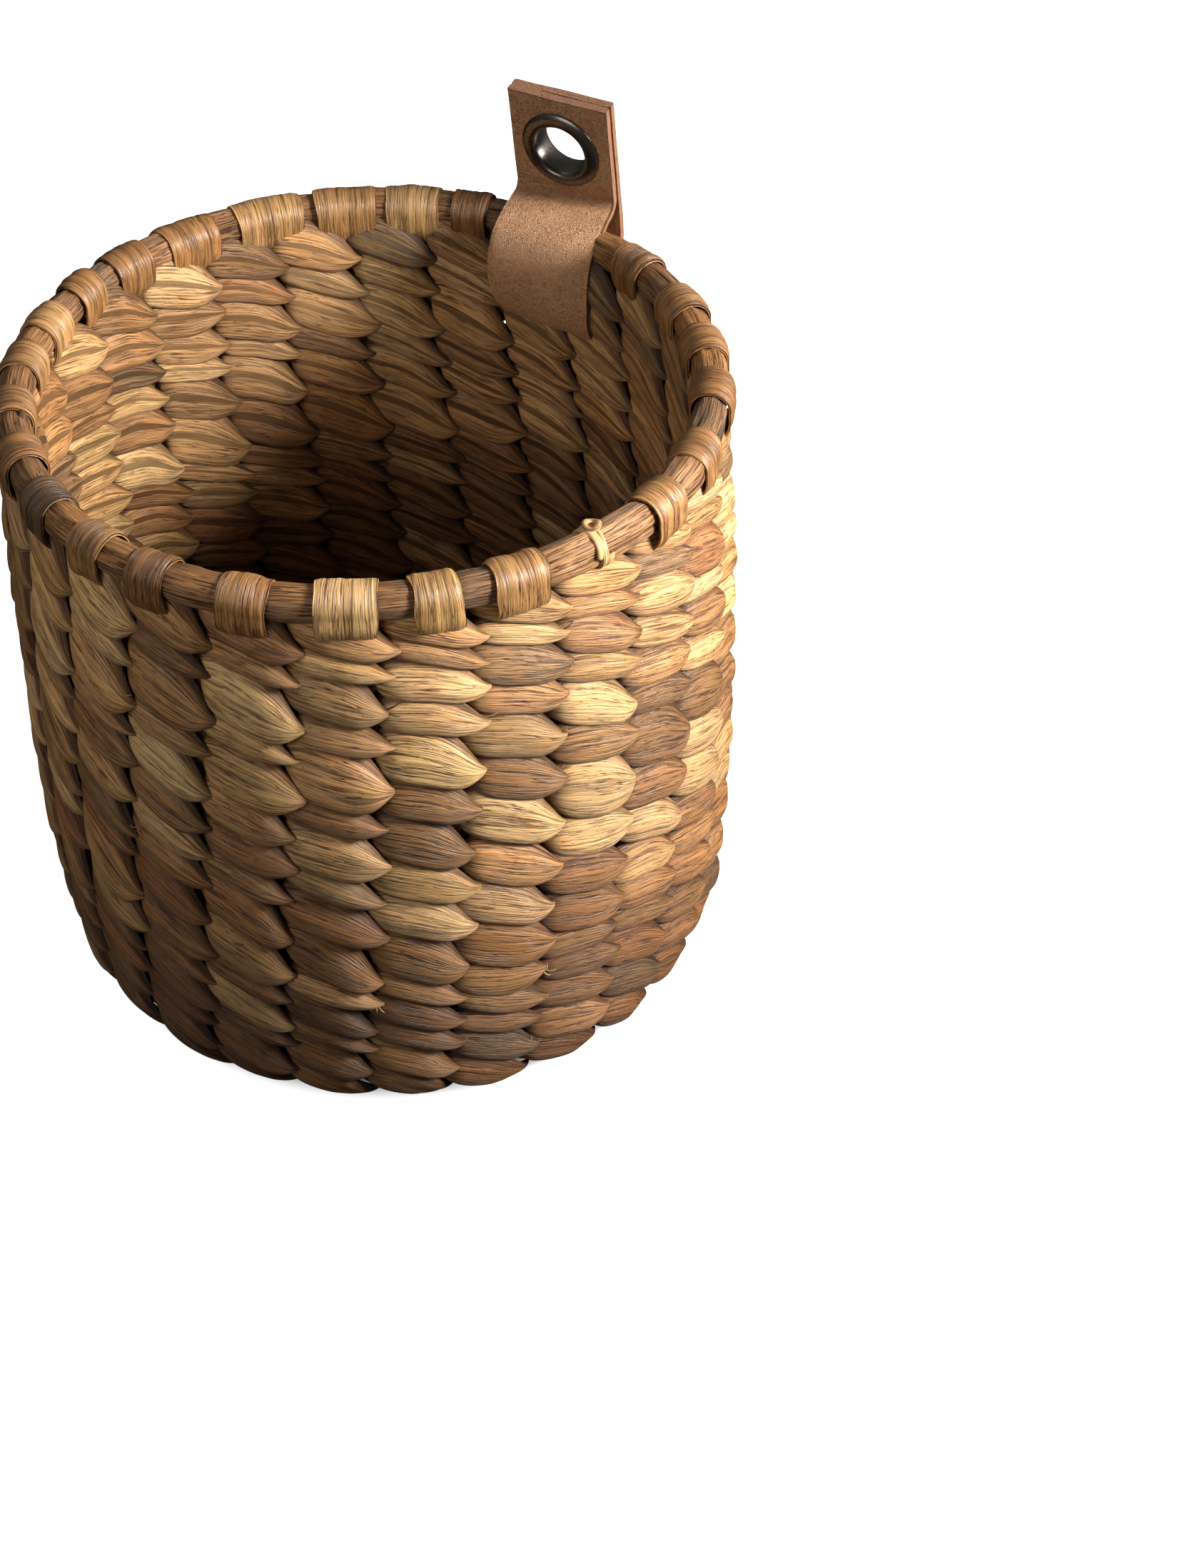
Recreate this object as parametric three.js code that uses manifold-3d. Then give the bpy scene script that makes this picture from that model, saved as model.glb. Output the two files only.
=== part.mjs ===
// Hanging basket twined from water hyacinth, with a leather strap and a metal eyelet.
// Millimetres, +Z up. The origin is the middle of the underside; the strap is at +Y.
import * as THREE from 'three';
import { mergeVertices } from 'three/addons/utils/BufferGeometryUtils.js';
import Module from 'manifold-3d';

const wasm = await Module();
wasm.setup();

// ---------------------------------------------------------------- driving dimensions
const UPRIGHTS = 26;                 // spokes round the wall
const PITCH = Math.PI * 2 / UPRIGHTS;
const GROUPS = [6, 7];               // stakes lying along X and along Y at the crossing
const FIRST = Math.PI / 2;           // angle of the first spoke, which is the one behind the strap
const ROWS = 15;                     // twined rows in the wall
const WALL_TOP = 222.5;              // top of the highest row
const ROW_PITCH = WALL_TOP / ROWS;
const WALL_HALF = 6;                 // half of the wall's thickness
const GAP = 0.4;                     // clearance between neighbouring pieces
const WALL_MID = [                   // wall mid-surface: height, radius
  [ROW_PITCH, 120.5], [4 * ROW_PITCH, 122.6], [8 * ROW_PITCH, 123.4], [12 * ROW_PITCH, 122.0],
  [WALL_TOP, 118.8],
];
const BASE_THICK = 12.5;
const BASE_MID = BASE_THICK / 2;
const BASE_IN = 32.8;                // inner radius of the first base round
const BASE_OUT = 113.5;              // outer radius of the last base round
const BASE_ROUNDS = 6;
const PAIRED_ROUNDS = 3;             // inner rounds that pass over two spokes at a time
const STAKE_W = 6;                   // spoke width along the round
const STAKE_T = 3;                   // spoke thickness through the wall
const STAKE_SPACE = 6.6;             // spacing of the spokes at the crossing
const LAYER = 1.75;                  // half of the distance between the two crossing layers
const RIM_R = 120, RIM_Z = 233;      // centre line of the rim core
const CORE_R = 5.4;                  // rim core radius
const LASH_IN = 6.15, LASH_OUT = 7.9, LASH_W = 13;
const STRAP_W = 40, STRAP_T = 3.2;
const SLOT_Z = RIM_Z - 38.4;         // where the strap goes through the wall
const LEAN = THREE.MathUtils.degToRad(8.8); // the tab leans in over the mouth by this much
const TAB_FOOT = [6.55, 15.1];       // foot of the tab's middle plane, from the rim core (out, up)
const TAB_HEIGHT = 40.6;             // tab height along its own plane
const EYE_UP = 19.1;                 // eyelet centre above the tab's foot, along its plane
const EYE_HOLE = 10, EYE_BARREL = 10.9, EYE_FLANGE = 15.5, EYE_LEATHER = 11.7;

// ---------------------------------------------------------------- materials
const mat = (name, color, roughness, metalness = 0) =>
  Object.assign(new THREE.MeshStandardMaterial({ color, roughness, metalness }), { name });
const straw = mat('straw', 0xb58a5a, 0.62);
const darkStraw = mat('dark straw', 0x8a6242, 0.62);
const stem = mat('stem', 0xc49a66, 0.7);
const leather = mat('leather', 0xa0735a, 0.55);
const metal = mat('antique metal', 0x3a2c26, 0.28, 0.9);

const group = new THREE.Group();

// ---------------------------------------------------------------- helpers
function solidOf(geometry) {
  const g0 = geometry.clone();
  g0.deleteAttribute('normal');
  g0.deleteAttribute('uv');
  const g = mergeVertices(g0, 1e-4);
  const p = g.attributes.position.array, t = Array.from(g.index.array);
  const tri = [];
  let volume = 0;
  for (let i = 0; i < t.length; i += 3) {
    const [a, b, c] = [t[i], t[i + 1], t[i + 2]];
    if (a === b || b === c || a === c) continue;
    tri.push(a, b, c);
    const A = new THREE.Vector3().fromArray(p, a * 3);
    const B = new THREE.Vector3().fromArray(p, b * 3);
    const C = new THREE.Vector3().fromArray(p, c * 3);
    volume += A.dot(B.cross(C)) / 6;
  }
  if (volume < 0) for (let i = 0; i < tri.length; i += 3) [tri[i + 1], tri[i + 2]] = [tri[i + 2], tri[i + 1]];
  return new wasm.Manifold(new wasm.Mesh({
    numProp: 3, vertProperties: new Float32Array(p), triVerts: new Uint32Array(tri),
  }));
}

function addPiece(name, solid, material) {
  const m = solid.asOriginal().simplify(0.002).getMesh();
  const g = new THREE.BufferGeometry();
  const n = m.numProp, src = m.vertProperties, count = src.length / n;
  const pos = new Float32Array(count * 3);
  for (let i = 0; i < count; i++) for (let k = 0; k < 3; k++) pos[i * 3 + k] = src[i * n + k];
  g.setAttribute('position', new THREE.BufferAttribute(pos, 3));
  g.setIndex(Array.from(m.triVerts));
  g.computeVertexNormals();
  const mesh = new THREE.Mesh(g, material);
  mesh.name = name;
  group.add(mesh);
}

// a ring about Z from a closed radial profile; corners at `phase` + multiples of the step
function ring(profile, segments = UPRIGHTS, phase = 0) {
  const pts = profile.map(([r, z]) => new THREE.Vector2(r, z));
  pts.push(pts[0].clone());
  return new THREE.LatheGeometry(pts, segments, Math.PI / 2 + phase).rotateX(Math.PI / 2);
}

// the outline of a strip of constant thickness that follows a line
function stripShape(line, thickness) {
  const p = line.map(([x, y]) => new THREE.Vector2(x, y));
  const left = [], right = [];
  for (let i = 0; i < p.length; i++) {
    const a = i > 0 ? p[i].clone().sub(p[i - 1]).normalize() : null;
    const b = i < p.length - 1 ? p[i + 1].clone().sub(p[i]).normalize() : null;
    const d = a && b ? a.clone().add(b).normalize() : (a || b).clone();
    const ref = a || b;
    const n = new THREE.Vector2(-d.y, d.x);
    const reach = thickness / 2 / Math.max(0.4, n.dot(new THREE.Vector2(-ref.y, ref.x)));
    left.push(p[i].clone().addScaledVector(n, reach));
    right.push(p[i].clone().addScaledVector(n, -reach));
  }
  return new THREE.Shape([...left, ...right.reverse()]);
}

// a shape drawn in (radius, height) becomes a slab of the given width at one angle round Z
function slab(shape, width, angle) {
  return new THREE.ExtrudeGeometry(shape, { depth: width, bevelEnabled: false, steps: 1, curveSegments: 1 })
    .translate(0, 0, -width / 2).rotateX(Math.PI / 2).rotateZ(angle);
}

const wallMid = (z) => {
  if (z <= WALL_MID[0][0]) return WALL_MID[0][1];
  for (let i = 1; i < WALL_MID.length; i++) {
    const [z0, r0] = WALL_MID[i - 1], [z1, r1] = WALL_MID[i];
    if (z <= z1) return r0 + (r1 - r0) * (z - z0) / (z1 - z0);
  }
  return WALL_MID[WALL_MID.length - 1][1];
};

// ---------------------------------------------------------------- spokes
// Each spoke runs out along the base, turns up at the foot and stands in the wall.
// At the top it bends in under the rim core and its flattened end is folded over the core.
const FOOT = [[109, BASE_MID], [115.5, 7.4], [119.6, 11.4]];
const HEAD = [[117.4, 224.9], [113.9, 225.3], [112.1, 227.8], [112.3, 230.4]];
const CROSS_REACH = 26.5;            // half length of the middle stake's straight part
function spokeLine(start, layer, full) {
  const line = [[start, BASE_MID + layer], [44, BASE_MID], ...FOOT, ...WALL_MID.map(([z, r]) => [r, z])];
  if (full) line.push(...HEAD);
  return line;
}
function shortLine(start, layer) {   // the spoke behind the strap stops under the slot
  const line = [[start, BASE_MID + layer], [44, BASE_MID], ...FOOT,
    ...WALL_MID.filter(([z]) => z < 185).map(([z, r]) => [r, z])];
  line.push([wallMid(190), 190]);
  return line;
}
function lashing(angle) {
  const a0 = THREE.MathUtils.degToRad(213), a1 = THREE.MathUtils.degToRad(-42), n = 6;
  const pts = [];
  for (let i = 0; i <= n; i++) {
    const a = a0 + (a1 - a0) * i / n;
    pts.push(new THREE.Vector2(RIM_R + LASH_OUT * Math.cos(a), RIM_Z + LASH_OUT * Math.sin(a)));
  }
  for (let i = n; i >= 0; i--) {
    const a = a0 + (a1 - a0) * i / n;
    pts.push(new THREE.Vector2(RIM_R + LASH_IN * Math.cos(a), RIM_Z + LASH_IN * Math.sin(a)));
  }
  return slab(new THREE.Shape(pts), LASH_W, angle);
}

const strapAngle = FIRST;
const sameAngle = (a, b) => Math.abs(Math.atan2(Math.sin(a - b), Math.cos(a - b))) < 1e-3;
let stakeNo = 0;
for (let side = 0; side < 2; side++) {
  const layer = side === 0 ? -LAYER : LAYER, count = GROUPS[side];
  const axis = side * Math.PI / 2;
  for (let k = 0; k < count; k++) {
    const place = k - (count - 1) / 2;
    const off = place * STAKE_SPACE, lean = place * PITCH;
    const r0 = lean ? off / Math.sin(lean) : CROSS_REACH, half = r0 * Math.cos(lean);
    const bar = new THREE.BoxGeometry(half * 2 + 0.6, STAKE_W, STAKE_T)
      .translate(0, off, BASE_MID + layer).rotateZ(axis);
    let solid = solidOf(bar);
    for (const angle of [axis + lean, axis + Math.PI - lean]) {
      const isStrap = sameAngle(angle, strapAngle);
      const line = isStrap ? shortLine(r0 - 0.8, layer) : spokeLine(r0 - 0.8, layer, true);
      solid = solid.add(solidOf(slab(stripShape(line, STAKE_T), STAKE_W, angle)));
      if (!isStrap) solid = solid.add(solidOf(lashing(angle)));
    }
    stakeNo++;
    addPiece(`stake_${String(stakeNo).padStart(2, '0')}`, solid, stem);
  }
}

// the room that the spokes need inside the rounds and rows
const room = [];
for (let i = 0; i < UPRIGHTS; i++) {
  const angle = FIRST + i * PITCH;
  const line = i === 0 ? shortLine(60, 0) : spokeLine(60, 0, false);
  if (i === 0) line[line.length - 1] = [wallMid(191), 191];
  else line[line.length - 1] = [wallMid(WALL_TOP) - 0.15, WALL_TOP + 2];
  line[0] = [60, BASE_MID];
  line.splice(1, 1);
  room.push(solidOf(slab(stripShape(line, STAKE_T + 2 * GAP), STAKE_W + 2 * GAP, angle)));
}
const spokeRoom = wasm.Manifold.union(room);

// ---------------------------------------------------------------- base rounds
const step = (BASE_OUT - BASE_IN) / BASE_ROUNDS;
for (let i = 0; i < BASE_ROUNDS; i++) {
  const r0 = BASE_IN + i * step, r1 = BASE_IN + (i + 1) * step - GAP;
  const paired = i < PAIRED_ROUNDS;
  let solid = solidOf(ring([[r0, 0], [r1, 0], [r1, BASE_THICK], [r0, BASE_THICK]],
    paired ? UPRIGHTS / 2 : UPRIGHTS, FIRST + (paired ? PITCH * 1.5 : PITCH / 2)));
  if (paired) {
    const lift = i === 0 ? LAYER + 0.1 : 0.1;
    const z0 = BASE_MID - STAKE_T / 2 - lift - GAP, z1 = BASE_MID + STAKE_T / 2 + lift + GAP;
    const holes = [];
    for (let m = 0; m < UPRIGHTS / 2; m++) {
      const half = (r) => r * Math.sin(PITCH / 2) + (STAKE_W / 2 + GAP) / Math.cos(PITCH / 2);
      const ra = r0 - 3, rb = r1 + 3;
      const wedge = new THREE.Shape([
        new THREE.Vector2(ra, -half(ra)), new THREE.Vector2(rb, -half(rb)),
        new THREE.Vector2(rb, half(rb)), new THREE.Vector2(ra, half(ra)),
      ]);
      holes.push(solidOf(new THREE.ExtrudeGeometry(wedge, { depth: z1 - z0, bevelEnabled: false, steps: 1 })
        .translate(0, 0, z0).rotateZ(FIRST + PITCH / 2 + m * 2 * PITCH)));
    }
    solid = solid.subtract(wasm.Manifold.union(holes));
  } else solid = solid.subtract(spokeRoom);
  addPiece(`base_round_${i + 1}`, solid, i % 2 ? darkStraw : straw);
}

// ---------------------------------------------------------------- wall rows
const slot = solidOf(new THREE.BoxGeometry(STRAP_W + 1.2, 60, STRAP_T + 0.8)
  .translate(0, RIM_R, SLOT_Z));
for (let j = 1; j <= ROWS; j++) {
  const z0 = j === 1 ? 0 : (j - 1) * ROW_PITCH + GAP / 2, z1 = j * ROW_PITCH - (j === ROWS ? 0 : GAP / 2);
  const ri = (z) => wallMid(z) - WALL_HALF, ro = (z) => wallMid(z) + WALL_HALF;
  const profile = j === 1
    ? [[BASE_OUT + GAP, 0], [118.6, 0], [124.4, 4.6], [ro(z1), z1], [ri(z1), z1]]
    : [[ri(z0), z0], [ro(z0), z0], [ro(z1), z1], [ri(z1), z1]];
  let solid = solidOf(ring(profile, UPRIGHTS, FIRST + (j === 1 ? PITCH / 2 : 0))).subtract(spokeRoom);
  if (z0 < SLOT_Z + 2.1 && z1 > SLOT_Z - 2.1) solid = solid.subtract(slot);
  addPiece(`weave_row_${String(j).padStart(2, '0')}`, solid, j % 2 ? straw : darkStraw);
}

// ---------------------------------------------------------------- rim core
{
  const r = RIM_R / Math.cos(PITCH / 2), pts = [];
  for (let i = 0; i < 8; i++) {
    const a = Math.PI / 8 + i * Math.PI / 4;
    pts.push([r + CORE_R * Math.cos(a), RIM_Z + CORE_R * Math.sin(a)]);
  }
  addPiece('rim_core', solidOf(ring(pts, UPRIGHTS, FIRST + PITCH / 2)), darkStraw);
}

// ---------------------------------------------------------------- leather strap
// One strip: down inside the wall, out through the slot, up outside; its two ends lie
// together above the rim, where the eyelet clamps them.
const S = SLOT_Z - RIM_Z;
const loopLine = [
  [5.0, 12.2], [3.6, 10.6], [-0.2, 8.9], [-5.2, 6.2], [-9.4, 1.2], [-11.6, -4.5], [-12.3, -10], [-12.4, -30],
  [-11.8, -36.0], [-9.4, S], [7.4, S], [9.1, S + 2.0], [9.4, -32], [9.4, -4], [9.2, 4.0], [8.9, 10.0],
].map(([y, h]) => [RIM_R + y, RIM_Z + h]);
addPiece('strap_loop', solidOf(slab(stripShape(loopLine, STRAP_T), STRAP_W, Math.PI / 2)), leather);

// tab pieces are drawn with Z up their own plane and Y through it, then leaned and set on the rim
const onTab = (geometry) => geometry.rotateX(LEAN)
  .translate(0, RIM_R + TAB_FOOT[0], RIM_Z + TAB_FOOT[1]);
const tabPlate = (y0) => {
  const shape = new THREE.Shape([
    new THREE.Vector2(-STRAP_W / 2, 0), new THREE.Vector2(STRAP_W / 2, 0),
    new THREE.Vector2(STRAP_W / 2, TAB_HEIGHT), new THREE.Vector2(-STRAP_W / 2, TAB_HEIGHT),
  ]);
  const hole = new THREE.Path();
  hole.absarc(0, EYE_UP, EYE_LEATHER, 0, Math.PI * 2, true);
  shape.holes.push(hole);
  return onTab(new THREE.ExtrudeGeometry(shape,
    { depth: STRAP_T, bevelEnabled: false, steps: 1, curveSegments: 16 })
    .rotateX(Math.PI / 2).translate(0, y0 + STRAP_T, 0));
};
const LEAF = 0.15;                    // half of the gap between the two layers
addPiece('strap_tab_inner', solidOf(tabPlate(-LEAF - STRAP_T)), leather);
addPiece('strap_tab_outer', solidOf(tabPlate(LEAF)), leather);

// ---------------------------------------------------------------- eyelet
// A flange on the side of the basket's mouth, a barrel through both layers, rolled over a washer.
const face = LEAF + STRAP_T;          // leather faces either side of the middle
const spin = (profile) => onTab(ring(profile, 20).rotateX(-Math.PI / 2).translate(0, 0, EYE_UP));
addPiece('eyelet', solidOf(spin([
  [EYE_HOLE, -face - 1.9], [EYE_FLANGE - 1.6, -face - 1.9], [EYE_FLANGE, -face - 0.9], [EYE_FLANGE, -face - 0.3],
  [EYE_BARREL, -face - 0.3], [EYE_BARREL, face + 1.8], [EYE_BARREL + 2.1, face + 1.8],
  [EYE_BARREL + 2.1, face + 2.6], [EYE_HOLE, face + 2.6],
])), metal);
addPiece('eyelet_washer', solidOf(spin([
  [EYE_BARREL + 0.35, face + 0.3], [EYE_FLANGE - 0.3, face + 0.3], [EYE_FLANGE - 0.3, face + 1.5],
  [EYE_BARREL + 0.35, face + 1.5],
])), metal);

export default group;
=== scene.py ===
# Looks of the twined basket with its leather strap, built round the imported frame.
# Lengths inside this script are in millimetres and become metres when a mesh is made.
import bpy
import math
import numpy as np
from mathutils import Matrix, Vector


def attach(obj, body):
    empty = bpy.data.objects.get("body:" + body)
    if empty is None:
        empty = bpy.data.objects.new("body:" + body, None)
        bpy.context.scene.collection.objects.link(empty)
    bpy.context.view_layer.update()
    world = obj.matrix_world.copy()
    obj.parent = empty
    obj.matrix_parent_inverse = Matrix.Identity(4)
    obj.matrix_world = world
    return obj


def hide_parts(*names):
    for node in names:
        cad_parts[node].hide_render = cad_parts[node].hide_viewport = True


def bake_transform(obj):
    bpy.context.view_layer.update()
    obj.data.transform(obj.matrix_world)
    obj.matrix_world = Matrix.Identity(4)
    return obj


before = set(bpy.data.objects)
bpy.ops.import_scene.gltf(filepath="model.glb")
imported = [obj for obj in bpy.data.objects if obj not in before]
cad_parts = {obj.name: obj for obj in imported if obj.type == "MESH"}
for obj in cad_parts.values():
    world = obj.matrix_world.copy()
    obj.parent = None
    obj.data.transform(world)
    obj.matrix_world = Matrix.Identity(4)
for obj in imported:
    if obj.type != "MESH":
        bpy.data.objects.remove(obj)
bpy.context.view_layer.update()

# ------------------------------------------------------------------ size of the design
N = 26                          # spokes
PITCH = 2 * math.pi / N
FIRST = math.pi / 2             # the spoke behind the strap
ROWS = 15
ROUNDS = 6
BASE_IN, BASE_OUT = 32.8, 113.0
WALL_END_Z = 228.3
RIM_R, RIM_Z = 120.0, 233.0
LEAN_COLUMNS = math.radians(8.5)  # the columns of stitches drift by this angle over the wall
STRAP_W, STRAP_T = 40.0, 3.2
SLOT_H = -38.4
TAB_LEAN = math.radians(8.8)
TAB_FOOT = (6.55, 15.1)
TAB_HEIGHT = 40.6
EYE_UP = 19.1


def srgb(r, g, b):
    def f(c):
        c = c / 255.0
        return c / 12.92 if c <= 0.04045 else ((c + 0.055) / 1.055) ** 2.4
    return (f(r), f(g), f(b))


# ------------------------------------------------------------------ small numeric tools
def pchip_slopes(x, y):
    h = np.diff(x)[:, None]
    d = np.diff(y, axis=0) / h
    m = np.zeros_like(y)
    same = (d[1:] * d[:-1]) > 0
    w1, w2 = 2 * h[1:] + h[:-1], h[1:] + 2 * h[:-1]
    with np.errstate(divide="ignore", invalid="ignore"):
        hm = (w1 + w2) / (w1 / d[:-1] + w2 / d[1:])
    m[1:-1] = np.where(same, hm, 0)
    m[0], m[-1] = d[0], d[-1]
    return m


def catmull_slopes(x, y):
    m = np.zeros_like(y)
    m[1:-1] = (y[2:] - y[:-2]) / (x[2:] - x[:-2])[:, None]
    m[0] = (y[1] - y[0]) / (x[1] - x[0])
    m[-1] = (y[-1] - y[-2]) / (x[-1] - x[-2])
    return m


def hermite(x, y, m, q):
    i = np.clip(np.searchsorted(x, q, side="right") - 1, 0, len(x) - 2)
    h = (x[i + 1] - x[i])[:, None]
    t = ((q - x[i]) / (x[i + 1] - x[i]))[:, None]
    t2, t3 = t * t, t * t * t
    return ((2 * t3 - 3 * t2 + 1) * y[i] + (t3 - 2 * t2 + t) * h * m[i]
            + (-2 * t3 + 3 * t2) * y[i + 1] + (t3 - t2) * h * m[i + 1])


def smooth_line(points, n, start=None):
    p = np.array(points, float)
    x = np.concatenate([[0], np.cumsum(np.linalg.norm(np.diff(p, axis=0), axis=1))])
    q = np.linspace(0, x[-1], n)
    return hermite(x, p, catmull_slopes(x, p), q)


def hash01(*ints):
    h = np.uint64(1469598103934665603) * np.ones(np.broadcast(*ints).shape, np.uint64)
    for a in ints:
        h = (h ^ (np.asarray(a).astype(np.int64).astype(np.uint64))) * np.uint64(1099511628211)
        h ^= h >> np.uint64(29)
    h = h * np.uint64(0x9E3779B97F4A7C15)
    h ^= h >> np.uint64(32)
    return (h & np.uint64(0xFFFFFF)).astype(float) / float(0x1000000)


def vnoise(x, y, seed, period_x=None):
    """Smooth value noise in [-1, 1]; periodic in x if a period is given."""
    x, y = np.broadcast_arrays(np.asarray(x, float), np.asarray(y, float))
    xi, yi = np.floor(x), np.floor(y)
    fx, fy = x - xi, y - yi
    fx, fy = fx * fx * (3 - 2 * fx), fy * fy * (3 - 2 * fy)
    def g(a, b):
        if period_x:
            a = np.mod(a, period_x)
        return hash01(a + 1000, b + 1000, seed)
    v = ((g(xi, yi) * (1 - fx) + g(xi + 1, yi) * fx) * (1 - fy)
         + (g(xi, yi + 1) * (1 - fx) + g(xi + 1, yi + 1) * fx) * fy)
    return v * 2 - 1


# ------------------------------------------------------------------ the basket's mid-surface
PROFILE = smooth_line([
    (0, 6.25), (30, 6.25), (60, 6.25), (88, 6.25), (103, 6.35), (109.5, 7.3), (114.6, 9.8), (117.8, 13.6),
    (119.4, 18.5), (120.4, 26), (121.4, 40), (122.9, 62), (123.5, 90), (123.5, 118), (123.0, 150), (121.9, 180),
    (120.2, 205), (118.9, 222), (118.4, 234)], 4000)
_len = np.concatenate([[0], np.cumsum(np.linalg.norm(np.diff(PROFILE, axis=0), axis=1))])
_tan = np.gradient(PROFILE, axis=0)
_tan /= np.linalg.norm(_tan, axis=1)[:, None]


def profile(ell):
    r, z = np.interp(ell, _len, PROFILE[:, 0]), np.interp(ell, _len, PROFILE[:, 1])
    tr, tz = np.interp(ell, _len, _tan[:, 0]), np.interp(ell, _len, _tan[:, 1])
    k = np.hypot(tr, tz)
    return r, z, tr / k, tz / k


def ell_at_z(z):
    i = np.argmax(PROFILE[:, 1] >= z)
    return _len[i]


ELL_WALL0 = np.interp(BASE_OUT, PROFILE[:1800, 0], _len[:1800])
ELL_WALL1 = ell_at_z(WALL_END_Z)


def lean_at(ell):
    return LEAN_COLUMNS * (np.clip((ell - ELL_WALL0) / (ELL_WALL1 - ELL_WALL0), 0, 1) - 0.45)


def surf(phi, ell, n):
    r, z, tr, tz = profile(ell)
    rr, zz = r + n * tz, z - n * tr
    return np.stack([rr * np.cos(phi), rr * np.sin(phi), zz], -1)


# ------------------------------------------------------------------ mesh making
def make_mesh(name, verts, quads, tris=None, attrs=None, smooth=True, uv=None):
    me = bpy.data.meshes.new(name)
    verts = np.asarray(verts, np.float64) * 0.001
    quads = np.asarray(quads, np.int64).reshape(-1, 4)
    nt = 0 if tris is None else len(tris)
    me.vertices.add(len(verts))
    me.vertices.foreach_set("co", verts.astype(np.float32).ravel())
    loops = quads.ravel() if not nt else np.concatenate([quads.ravel(), np.asarray(tris).ravel()])
    me.loops.add(len(loops))
    me.loops.foreach_set("vertex_index", loops.astype(np.int32))
    me.polygons.add(len(quads) + nt)
    starts = np.concatenate([np.arange(len(quads)) * 4, len(quads) * 4 + np.arange(nt) * 3])
    me.polygons.foreach_set("loop_start", starts.astype(np.int32))
    me.polygons.foreach_set("use_smooth", np.full(len(quads) + nt, smooth))
    me.update(calc_edges=True)
    for key, (kind, data) in (attrs or {}).items():
        a = me.attributes.new(key, kind, "POINT")
        data = np.asarray(data, np.float32)
        if kind == "FLOAT":
            a.data.foreach_set("value", data.ravel())
        elif kind == "FLOAT_VECTOR":
            a.data.foreach_set("vector", data.ravel())
        elif kind == "FLOAT_COLOR":
            a.data.foreach_set("color", data.ravel())
    o = bpy.data.objects.new(name, me)
    bpy.context.scene.collection.objects.link(o)
    return o


def tube_quads(rings, sides, closed, offset=0):
    i = np.arange(rings if closed else rings - 1)[:, None]
    j = np.arange(sides)[None, :]
    a = i * sides + j
    b = i * sides + (j + 1) % sides
    ni = (i + 1) % rings
    c = ni * sides + (j + 1) % sides
    d = ni * sides + j
    return (np.stack([a, b, c, d], -1).reshape(-1, 4) + offset)


def volume_sign(verts, quads):
    a, b, c, d = (verts[quads[:, k]] for k in range(4))
    v = np.einsum("ij,ij->i", a, np.cross(b, c)).sum() + np.einsum("ij,ij->i", a, np.cross(c, d)).sum()
    return 1 if v > 0 else -1


def unit(v):
    return v / np.maximum(np.linalg.norm(v, axis=-1, keepdims=True), 1e-12)


class Bag:
    """Collects tubes and then becomes one object."""
    def __init__(self):
        self.v, self.q, self.t, self.fib, self.col, self.aux, self.n = [], [], [], [], [], [], 0

    def add(self, verts, quads, tris, fib, col, aux):
        allq = quads
        if tris is not None and len(tris):
            pad = np.concatenate([tris, tris[:, 2:3]], 1)
            allq = np.concatenate([quads, pad])
        if volume_sign(verts, allq) < 0:
            quads = quads[:, ::-1]
            tris = None if tris is None else tris[:, ::-1]
        self.v.append(verts)
        self.q.append(quads + self.n)
        if tris is not None and len(tris):
            self.t.append(tris + self.n)
        self.fib.append(fib)
        self.col.append(col)
        self.aux.append(aux)
        self.n += len(verts)

    def build(self, name, material):
        col = np.concatenate(self.col)
        col4 = np.concatenate([col, np.ones((len(col), 1))], 1)
        o = make_mesh(name, np.concatenate(self.v), np.concatenate(self.q),
                      np.concatenate(self.t) if self.t else None,
                      {"fib": ("FLOAT_VECTOR", np.concatenate(self.fib)),
                       "tone": ("FLOAT_COLOR", col4),
                       "aux": ("FLOAT_VECTOR", np.concatenate(self.aux))})
        o.data.materials.append(material)
        return o


# ------------------------------------------------------------------ colours of the dried stems
STRAW = [srgb(212, 171, 116), srgb(202, 158, 103), srgb(190, 145, 92)]
TAN = [srgb(176, 130, 80), srgb(164, 118, 70), srgb(156, 110, 65)]
BROWN = [srgb(138, 95, 55), srgb(124, 83, 47)]
RED = [srgb(146, 91, 51), srgb(130, 77, 43)]
GREY = [srgb(114, 85, 58), srgb(100, 75, 52)]
OLIVE = [srgb(184, 142, 88), srgb(170, 130, 80)]
EARTH = [srgb(146, 99, 57), srgb(132, 87, 49), srgb(122, 79, 44)]
FAMILIES = [STRAW, TAN, BROWN, RED, GREY, OLIVE, EARTH]


def pick_colours(rng, count, weights, hold=0.35):
    """A colour for each stitch along a strand; neighbours on one strand often stay alike."""
    out, last = np.zeros((count, 3)), None
    mean = sum(w * np.mean(np.array(fam), 0) for w, fam in zip(weights, FAMILIES))
    for k in range(count):
        if last is None or rng.random() > hold:
            fam = FAMILIES[rng.choice(len(FAMILIES), p=weights)]
            last = np.array(fam[rng.integers(len(fam))])
        out[k] = (0.70 * last + 0.30 * mean) * (1 + rng.normal(0, 0.12)) * (1 + rng.normal(0, 0.015, 3))
    return np.clip(out, 0.01, 0.9)


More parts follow.
